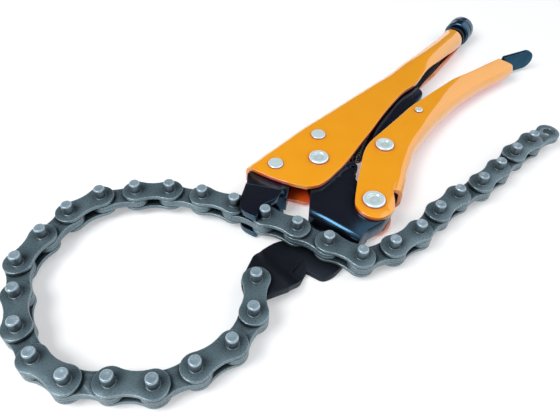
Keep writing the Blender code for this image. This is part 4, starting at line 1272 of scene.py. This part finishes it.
@dataclass(frozen=True)
class Linkage:
    """Toggle link and release lever.

    Args:
        toggle_half: half of the toggle link's thickness.
        toggle_end: radius of its end at the screw.
        toggle_eye: radius of its end on the handle.
        bar_half: half width of its bar's straight side.
        wrap: how far round each end its arcs go from its heading, in degrees.
        strap: thickness of the release lever's sheet.
        strap_step: share of the tab's first stretch over which the strap widens.
        tab_half: half width of the tab.
        boss: radius of the lever's boss.
        drill_reach: how far the toggle link's drill goes from the middle plane.
        toggle_edge: rounding of the toggle link's edges.
        strap_edge: rounding of the release lever's edges.
    """

    toggle_half: float = 0.0036
    toggle_end: float = 0.006
    toggle_eye: float = 0.0055
    bar_half: float = 0.004
    wrap: float = 100.0
    strap: float = 0.002
    strap_step: float = 0.045
    tab_half: float = 0.0062
    boss: float = 0.0029
    drill_reach: float = 0.004
    toggle_edge: float = 0.0004
    strap_edge: float = 0.0003

    # Shares of the reach: the toggle link's back edge, the release lever's strap and its tab
    BACK = ((0.250, 0.336), (0.209, 0.268), (0.198, 0.236), (0.161, 0.118), (0.158, 0.088))
    STRAP = (
        (0.309, 0.235), (0.355, 0.301), (0.402, 0.357), (0.461, 0.411), (0.527, 0.463),
        (0.583, 0.508), (0.611, 0.532),
    )
    TAB = ((0.645, 0.5574), (0.718, 0.599), (0.769, 0.616))
    TAB_SWEEP, TAB_STEPS = 84.0, 11
    SPREAD_STEPS = 5
    BAR_SHARES = (0.2, 0.7)

    def build_toggle(self, layout: Layout) -> None:
        """Toggle link from the lower handle to the screw's tip."""
        pivot, tip = TOGGLE_PIVOT.centre(layout), share(TOGGLE_TIP)
        run = tip - pivot
        heading = heading_of(run)
        side = Vector((-run[1], run[0])).normalized() * self.bar_half
        outline = arc(tip, self.toggle_end, heading - self.wrap, heading + self.wrap, 24) + shares(self.BACK)
        outline += arc(pivot, self.toggle_eye, heading + self.wrap, heading + 360 - self.wrap, 20)
        outline += [pivot + run * part - side for part in self.BAR_SHARES]
        link = Solid.prism("toggle_link_bar", outline, -self.toggle_half, self.toggle_half)
        TOGGLE_PIVOT.bore(link, layout, self.drill_reach)
        link.soften(self.toggle_edge).painted(Paint.BLACK)
        layout.place(link, "toggle", ("toggle_link",), Paint.BLACK)

    def stations(self) -> list[tuple[Vector, float]]:
        """Places along the release lever, each with the lever's half width there."""
        root, middle, end = shares(self.TAB)
        stations = [(place, CORE_HALF) for place in curve_through(shares(self.STRAP + self.TAB[:1]), 5)]
        for i in range(1, self.SPREAD_STEPS + 1):
            t = i / self.SPREAD_STEPS
            half = CORE_HALF + (self.tab_half - CORE_HALF) * eased(t)
            stations.append((root + (middle - root) * self.strap_step * t, half))
        centre = end - (end - middle).normalized() * self.tab_half
        stations.append((centre, self.tab_half))
        for i in range(1, self.TAB_STEPS + 1):
            angle = math.radians(self.TAB_SWEEP * i / self.TAB_STEPS)
            stations.append((centre + (end - centre) * math.sin(angle), self.tab_half * math.cos(angle)))
        return stations

    def build_release(self, layout: Layout) -> None:
        """Release lever: a strap inside the lower handle and a thumb tab."""
        stations = self.stations()
        sections = []
        for i, (point, half) in enumerate(stations):
            run = (stations[min(i + 1, len(stations) - 1)][0] - stations[max(i - 1, 0)][0]).normalized()
            side = Vector((-run[1], run[0])) * self.strap / 2
            left, right = point + side, point - side
            sections.append([(*left, -half), (*right, -half), (*right, half), (*left, half)])
        lever = Solid.loft("release_lever_strap", sections)
        pivot = RELEASE_PIVOT.centre(layout)
        lever.join(Solid.prism("boss", circle(pivot, self.boss), HAIR - CORE_HALF, CORE_HALF - HAIR))
        RELEASE_PIVOT.bore(lever, layout, CORE_DRILL)
        lever.soften(self.strap_edge, 45.0).painted(Paint.BLUED)
        layout.place(lever, "release", ("release_lever",), Paint.BLUED)


@dataclass(frozen=True)
class Adjuster:
    """Adjusting screw with its thread, the collar in the tube's end and the knob.

    Args:
        radius: the screw's outer radius.
        thread: depth of the thread.
        lead: the thread's pitch.
        room: from the toggle link's round end's centre to the screw's tip.
        knob: radius of the knob.
        front: where the knob's head starts along the screw.
        length: length of the knob's head.
        front_round: rounding of the head's front.
        back_round: rounding of its back.
        sunk: how far the screw's end lies under the knob's back.
        tip_bevel: bevel of the screw's tip.
        end_bevel: bevel of its end.
        plain: how far before the screw's zero its plain part starts.
    """

    radius: float = 0.0032
    thread: float = 0.0004
    lead: float = 0.00125
    room: float = 0.009
    knob: float = 0.0081
    front: float = 0.0051
    length: float = 0.0125
    front_round: float = 0.0012
    back_round: float = 0.0026
    sunk: float = 0.0008
    tip_bevel: float = 0.0006
    end_bevel: float = 0.0004
    plain: float = 0.001

    # Pairs of radius and place along the screw
    COLLAR = (
        (0.0035, -0.011), (0.0037, -0.0112), (0.0039, -0.0112), (0.004, -0.011), (0.004, 0.0003),
        (0.0063, 0.0003), (0.0067, 0.0007), (0.0067, 0.0021), (0.0064, 0.0025), (0.0062, 0.0026),
        (0.0037, 0.0026), (0.0035, 0.0024),
    )
    THROAT = ((0.0035, 0.003), (0.0045, 0.0029), (0.0046, 0.0031))
    # Pairs of depth under the knob's radius and place from its front
    GROOVE = ((0.0, 0.0052), (0.0004, 0.0056), (0.0004, 0.0064), (0.0, 0.0068))
    # Pairs of radius and depth under the knob's back
    MOUTH = ((0.0042, 0.0), (0.0038, 0.0003), (0.0035, 0.0004))
    FRONT_STEPS, BACK_STEPS, TURN_STEPS = 5, 8, 24
    THREAD_SHARE = 0.95
    SHARP = 30.0

    @property
    def back(self) -> float:
        """Where the knob's head ends along the screw."""
        return self.front + self.length

    def lay(self, solid: Solid, layout: Layout, body: str, node: str, paint: Paint,
            angle: float = SHARP_ANGLE) -> None:
        """Turns a piece made along Z onto the screw's axis and places it."""
        heading = math.atan2(layout.screw_axis[1], layout.screw_axis[0])
        solid.move(Matrix.Rotation(heading - math.pi / 2, 4, "Z") @ Matrix.Rotation(-math.pi / 2, 4, "X"))
        solid.move(Matrix.Translation((*layout.pivots["screw_turn"], 0)))
        layout.place(solid, body, (node,), paint, angle)

    def knob_head(self) -> Solid:
        """Knob with a rounded front, a groove and a domed back."""
        r, front, back = self.knob, self.front, self.back
        profile = [*self.THROAT, (self.THROAT[-1][0], front)]
        for i in range(self.FRONT_STEPS + 1):
            angle = math.pi / 2 * i / self.FRONT_STEPS
            profile.append((r - self.front_round * (1 - math.sin(angle)),
                            front + self.front_round * (1 - math.cos(angle))))
        profile += [(r - depth, front + place) for depth, place in self.GROOVE]
        for i in range(1, self.BACK_STEPS + 1):
            angle = math.pi / 2 * i / self.BACK_STEPS
            profile.append((r - self.back_round * (1 - math.cos(angle)),
                            back - self.back_round * (1 - math.sin(angle))))
        profile += [(radius, back - depth) for radius, depth in self.MOUTH]
        return Solid.turned("screw_knob_head", profile, 64, bored=True).painted(Paint.KNOB)

    def rod(self, low: float) -> Solid:
        """Screw with its thread, from its tip to inside the knob."""
        core, end = self.radius - self.thread, self.back - self.sunk
        screw = Solid.turned("adjusting_screw_rod", [
            (0, low), (core - self.tip_bevel, low), (core, low + self.tip_bevel), (core, -self.plain),
            (core, end - self.end_bevel), (core - self.end_bevel, end), (0, end)], 40).painted(Paint.STEEL)
        turns = int((-low - self.plain * 2) / self.lead)
        start = low + self.tip_bevel * 2
        spiral = []
        for i in range(turns * self.TURN_STEPS + 1):
            angle, climb = 2 * math.pi * i / self.TURN_STEPS, self.lead * i / self.TURN_STEPS
            spiral.append(Vector((core * math.cos(angle), core * math.sin(angle), start + climb)))
        return screw.take(Wire.along("thread", spiral, self.thread * self.THREAD_SHARE, 6, Paint.STEEL))

    def build(self, layout: Layout) -> None:
        """Builds the three pieces along the screw's axis."""
        collar = Solid.turned("screw_collar_ring", list(self.COLLAR), 64, bored=True).painted(Paint.STEEL)
        tip = share(TOGGLE_TIP) - layout.pivots["screw_turn"]
        low = tip.dot(layout.screw_axis.xy) + self.room
        self.lay(collar, layout, "clamp_body", "screw_collar", Paint.STEEL)
        self.lay(self.knob_head(), layout, "screw", "screw_knob", Paint.KNOB, self.SHARP)
        self.lay(self.rod(low), layout, "screw", "adjusting_screw", Paint.STEEL)


@dataclass(frozen=True)
class Spring:
    """Tension spring between the movable jaw and the fixed handle's tab.

    Args:
        wire: diameter of the wire.
        coil: outer diameter of the coil.
        pitch: step of the curls.
        curls: how many there are.
        bend: radius of a hook's bend, in wire diameters.
        corner: the share of a bend at its middle.
        held: share of the spring, from the jaw's hook, where the stretch handed to the placing starts; the
            placing does not read that place.
    """

    wire: float = 0.0009
    coil: float = 0.0056
    pitch: float = 0.0016
    curls: int = 20
    bend: float = 1.2
    corner: float = 0.3
    held: float = 0.05

    TURN_STEPS = 28

    def path(self) -> list[Vector]:
        """Centre line of the wire, hook to hook."""
        start, end = (Vector((*share(pair), 0)) for pair in (SPRING_HOOK, SPRING_TAB))
        run = end - start
        along, up = run.normalized(), Vector((0, 0, 1))
        side = Vector((-along[1], along[0], 0))
        radius = (self.coil - self.wire) / 2
        length = self.curls * self.pitch
        lead = (run.length - length) / 2
        bend = self.wire * self.bend
        corner = bend * self.corner
        drop, over = CORE_HALF - self.wire, TAB_SHEET / 2 + self.wire
        rough = [start + up * drop, start + up * bend * 2, start + up * bend,
                 start + (up + along) * corner, start + along * bend, start + along * (lead - radius)]
        points = curve_through(rough, 4)
        count = self.curls * self.TURN_STEPS
        for i in range(count + 1):
            turn = 2 * math.pi * i / self.TURN_STEPS
            place = start + along * (lead + length * i / count)
            points.append(place + side * radius * math.sin(turn) + up * radius * math.cos(turn))
        rough = [end - along * (lead - radius), end - along * bend + up * over,
                 end + up * (over - corner) - along * corner, end + up * (over - bend), end - up * over]
        return points + curve_through(rough, 4)

    def build(self, layout: Layout) -> None:
        """Sweeps the wire, which stretches between its two hooks."""
        spring = Wire.along("tension_spring_wire", self.path(), self.wire / 2, 10, Paint.SPRING)
        start, end = (layout.home + Vector((*share(pair), 0)) for pair in (SPRING_HOOK, SPRING_TAB))
        layout.place(spring, "clamp_body", ("tension_spring",), Paint.SPRING,
                     stretch=("jaw_arm", start.lerp(end, self.held), end))


@dataclass(frozen=True)
class Studio:
    """White floor, soft lights and the photo's camera.

    Args:
        lens: focal length on a 36 mm sensor, in millimetres.
        down: how far the camera looks down, in degrees.
        roll: the camera's roll, in degrees.
        stand: the camera's place from the jaw pivot.
        tent: colour of the tent round the part.
        opening: colour of the dark opening at the back.
        glow: colour of the low band under the opening.
        side: colour of the bright right side.
        dark_low: lower end of the opening, as the height of a direction.
        dark_fade: how softly the opening starts there.
        side_slant: how far the right side begins from straight back, as a slope.
        side_fade: how softly it begins.
        behind: from where to where a direction counts as the back, as its share along Y.
        floor_white: how much light the floor sends back.
        floor_glow: how much light it adds itself.
    """

    lens: float = 35.46
    down: float = 47.853
    roll: float = 2.555
    stand: Point = (-0.018, -0.2031, 0.19124)
    tent: Colour = (0.54, 0.56, 0.59)
    opening: Colour = (0.02, 0.023, 0.03)
    glow: Colour = (1.3, 1.35, 1.4)
    side: Colour = (1.02, 1.05, 1.1)
    dark_low: float = 0.2
    dark_fade: float = 0.05
    side_slant: float = 0.62
    side_fade: float = 0.03
    behind: Pair = (-0.12, -0.02)
    floor_white: float = 0.7
    floor_glow: float = 0.3

    # Name, place, power in watts and colour of each lamp
    LAMPS = (
        ("key", (-0.6, -0.45, 0.9), 11.4, (0.97, 0.99, 1.0)),
        ("fill", (0.6, -0.2, 1.0), 1.8, (1.0, 0.99, 0.98)),
    )
    LAMP_SIZE = 0.6

    def camera(self, home: Vector) -> None:
        """Places the camera."""
        data = bpy.data.cameras.new("photo_camera")
        data.lens, data.sensor_width, data.sensor_fit = self.lens, 36.0, "HORIZONTAL"
        data.clip_start, data.clip_end = 0.01, 20.0
        camera = bpy.data.objects.new("photo_camera", data)
        bpy.context.scene.collection.objects.link(camera)
        down, roll = math.radians(self.down), math.radians(self.roll)
        ahead = Vector((0, math.cos(down), -math.sin(down)))
        rise, level = Vector((0, math.sin(down), math.cos(down))), Vector((1, 0, 0))
        right = level * math.cos(roll) + rise * math.sin(roll)
        up = rise * math.cos(roll) - level * math.sin(roll)
        turn = Matrix((right, up, -ahead)).transposed().to_4x4()
        camera.matrix_world = Matrix.Translation(home + Vector(self.stand)) @ turn
        bpy.context.scene.camera = camera

    def light(self, name: str, place: Point, power: float, colour: Colour) -> None:
        """Adds a square area light that looks at the middle of the part."""
        data = bpy.data.lights.new(name, "AREA")
        data.shape = "RECTANGLE"
        data.size = data.size_y = self.LAMP_SIZE
        data.energy, data.color = power, colour
        light = bpy.data.objects.new(name, data)
        bpy.context.scene.collection.objects.link(light)
        light.location = place
        light.rotation_euler = (-Vector(place)).to_track_quat("-Z", "Y").to_euler()

    def world(self) -> None:
        """Dim tent with a dark opening at the back, over a bright low band, and a bright right side."""
        world = bpy.data.worlds.new("studio")
        bpy.context.scene.world = world
        world.use_nodes = True
        tree = world.node_tree
        tree.nodes.clear()
        place = tree.nodes.new("ShaderNodeTexCoord").outputs["Generated"]
        split = tree.nodes.new("ShaderNodeSeparateXYZ")
        tree.links.new(place, split.inputs[0])
        slant = tree.nodes.new("ShaderNodeVectorMath")
        slant.operation = "DOT_PRODUCT"
        tree.links.new(place, slant.inputs[0])
        slant.inputs[1].default_value = (1.0, -self.side_slant, 0.0)
        sky = self.glow
        for value, low, high, first, second in (
            (split.outputs["Z"], self.dark_low, self.dark_low + self.dark_fade, None, self.opening),
            (slant.outputs["Value"], 0.0, self.side_fade, None, self.side),
            (split.outputs["Y"], *self.behind, self.tent, None),
        ):
            ramp = tree.nodes.new("ShaderNodeMapRange")
            ramp.inputs["From Min"].default_value = low
            ramp.inputs["From Max"].default_value = high
            tree.links.new(value, ramp.inputs["Value"])
            mix = tree.nodes.new("ShaderNodeMix")
            mix.data_type = "RGBA"
            tree.links.new(ramp.outputs["Result"], mix.inputs[0])
            for socket, entry in ((mix.inputs[6], first or sky), (mix.inputs[7], second or sky)):
                if isinstance(entry, tuple):
                    socket.default_value = (*entry, 1)
                else:
                    tree.links.new(entry, socket)
            sky = mix.outputs[2]
        light = tree.nodes.new("ShaderNodeBackground")
        out = tree.nodes.new("ShaderNodeOutputWorld")
        tree.links.new(sky, light.inputs["Color"])
        tree.links.new(light.outputs[0], out.inputs["Surface"])

    def floor(self) -> None:
        """White floor that keeps the tool's shadow."""
        solid = Solid("studio_floor", [(-6, -6, 0), (6, -6, 0), (6, 6, 0), (-6, 6, 0)], [(0, 1, 2, 3)])
        sheet = NodeSheet("floor_white")
        for socket, value in (
            ("Base Color", (self.floor_white,) * 3), ("Roughness", 0.9), ("Specular IOR Level", 0.1),
            ("Emission Color", (1.0, 1.0, 1.0)), ("Emission Strength", self.floor_glow),
        ):
            sheet.feed(sheet.shader.inputs[socket], value)
        solid.object.data.materials.append(sheet.material)
        solid.move(Matrix.Translation((0, 0, -0.0002)))

    def build(self, home: Vector) -> None:
        """Sets the stage."""
        bpy.context.scene.view_settings.view_transform = "Standard"
        self.world()
        self.floor()
        self.camera(home)
        for lamp in self.LAMPS:
            self.light(*lamp)


def main() -> None:
    """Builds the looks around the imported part."""
    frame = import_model()
    layout = Layout.read(frame)
    handles, jaws, linkage = Handles(), Jaws(), Linkage()
    handles.build_fixed(layout)
    handles.build_lower(layout)
    jaws.build_fixed(layout)
    jaws.build_movable(layout)
    linkage.build_toggle(layout)
    linkage.build_release(layout)
    Adjuster().build(layout)
    Spring().build(layout)
    for rivet in (JAW_PIVOT, JAW_FRONT, JAW_REAR, HANDLE_PIVOT, TOGGLE_PIVOT, RELEASE_PIVOT):
        rivet.build(layout)
    Chain().build(layout)
    Studio().build(layout.home)


if __name__ == "__main__":
    main()
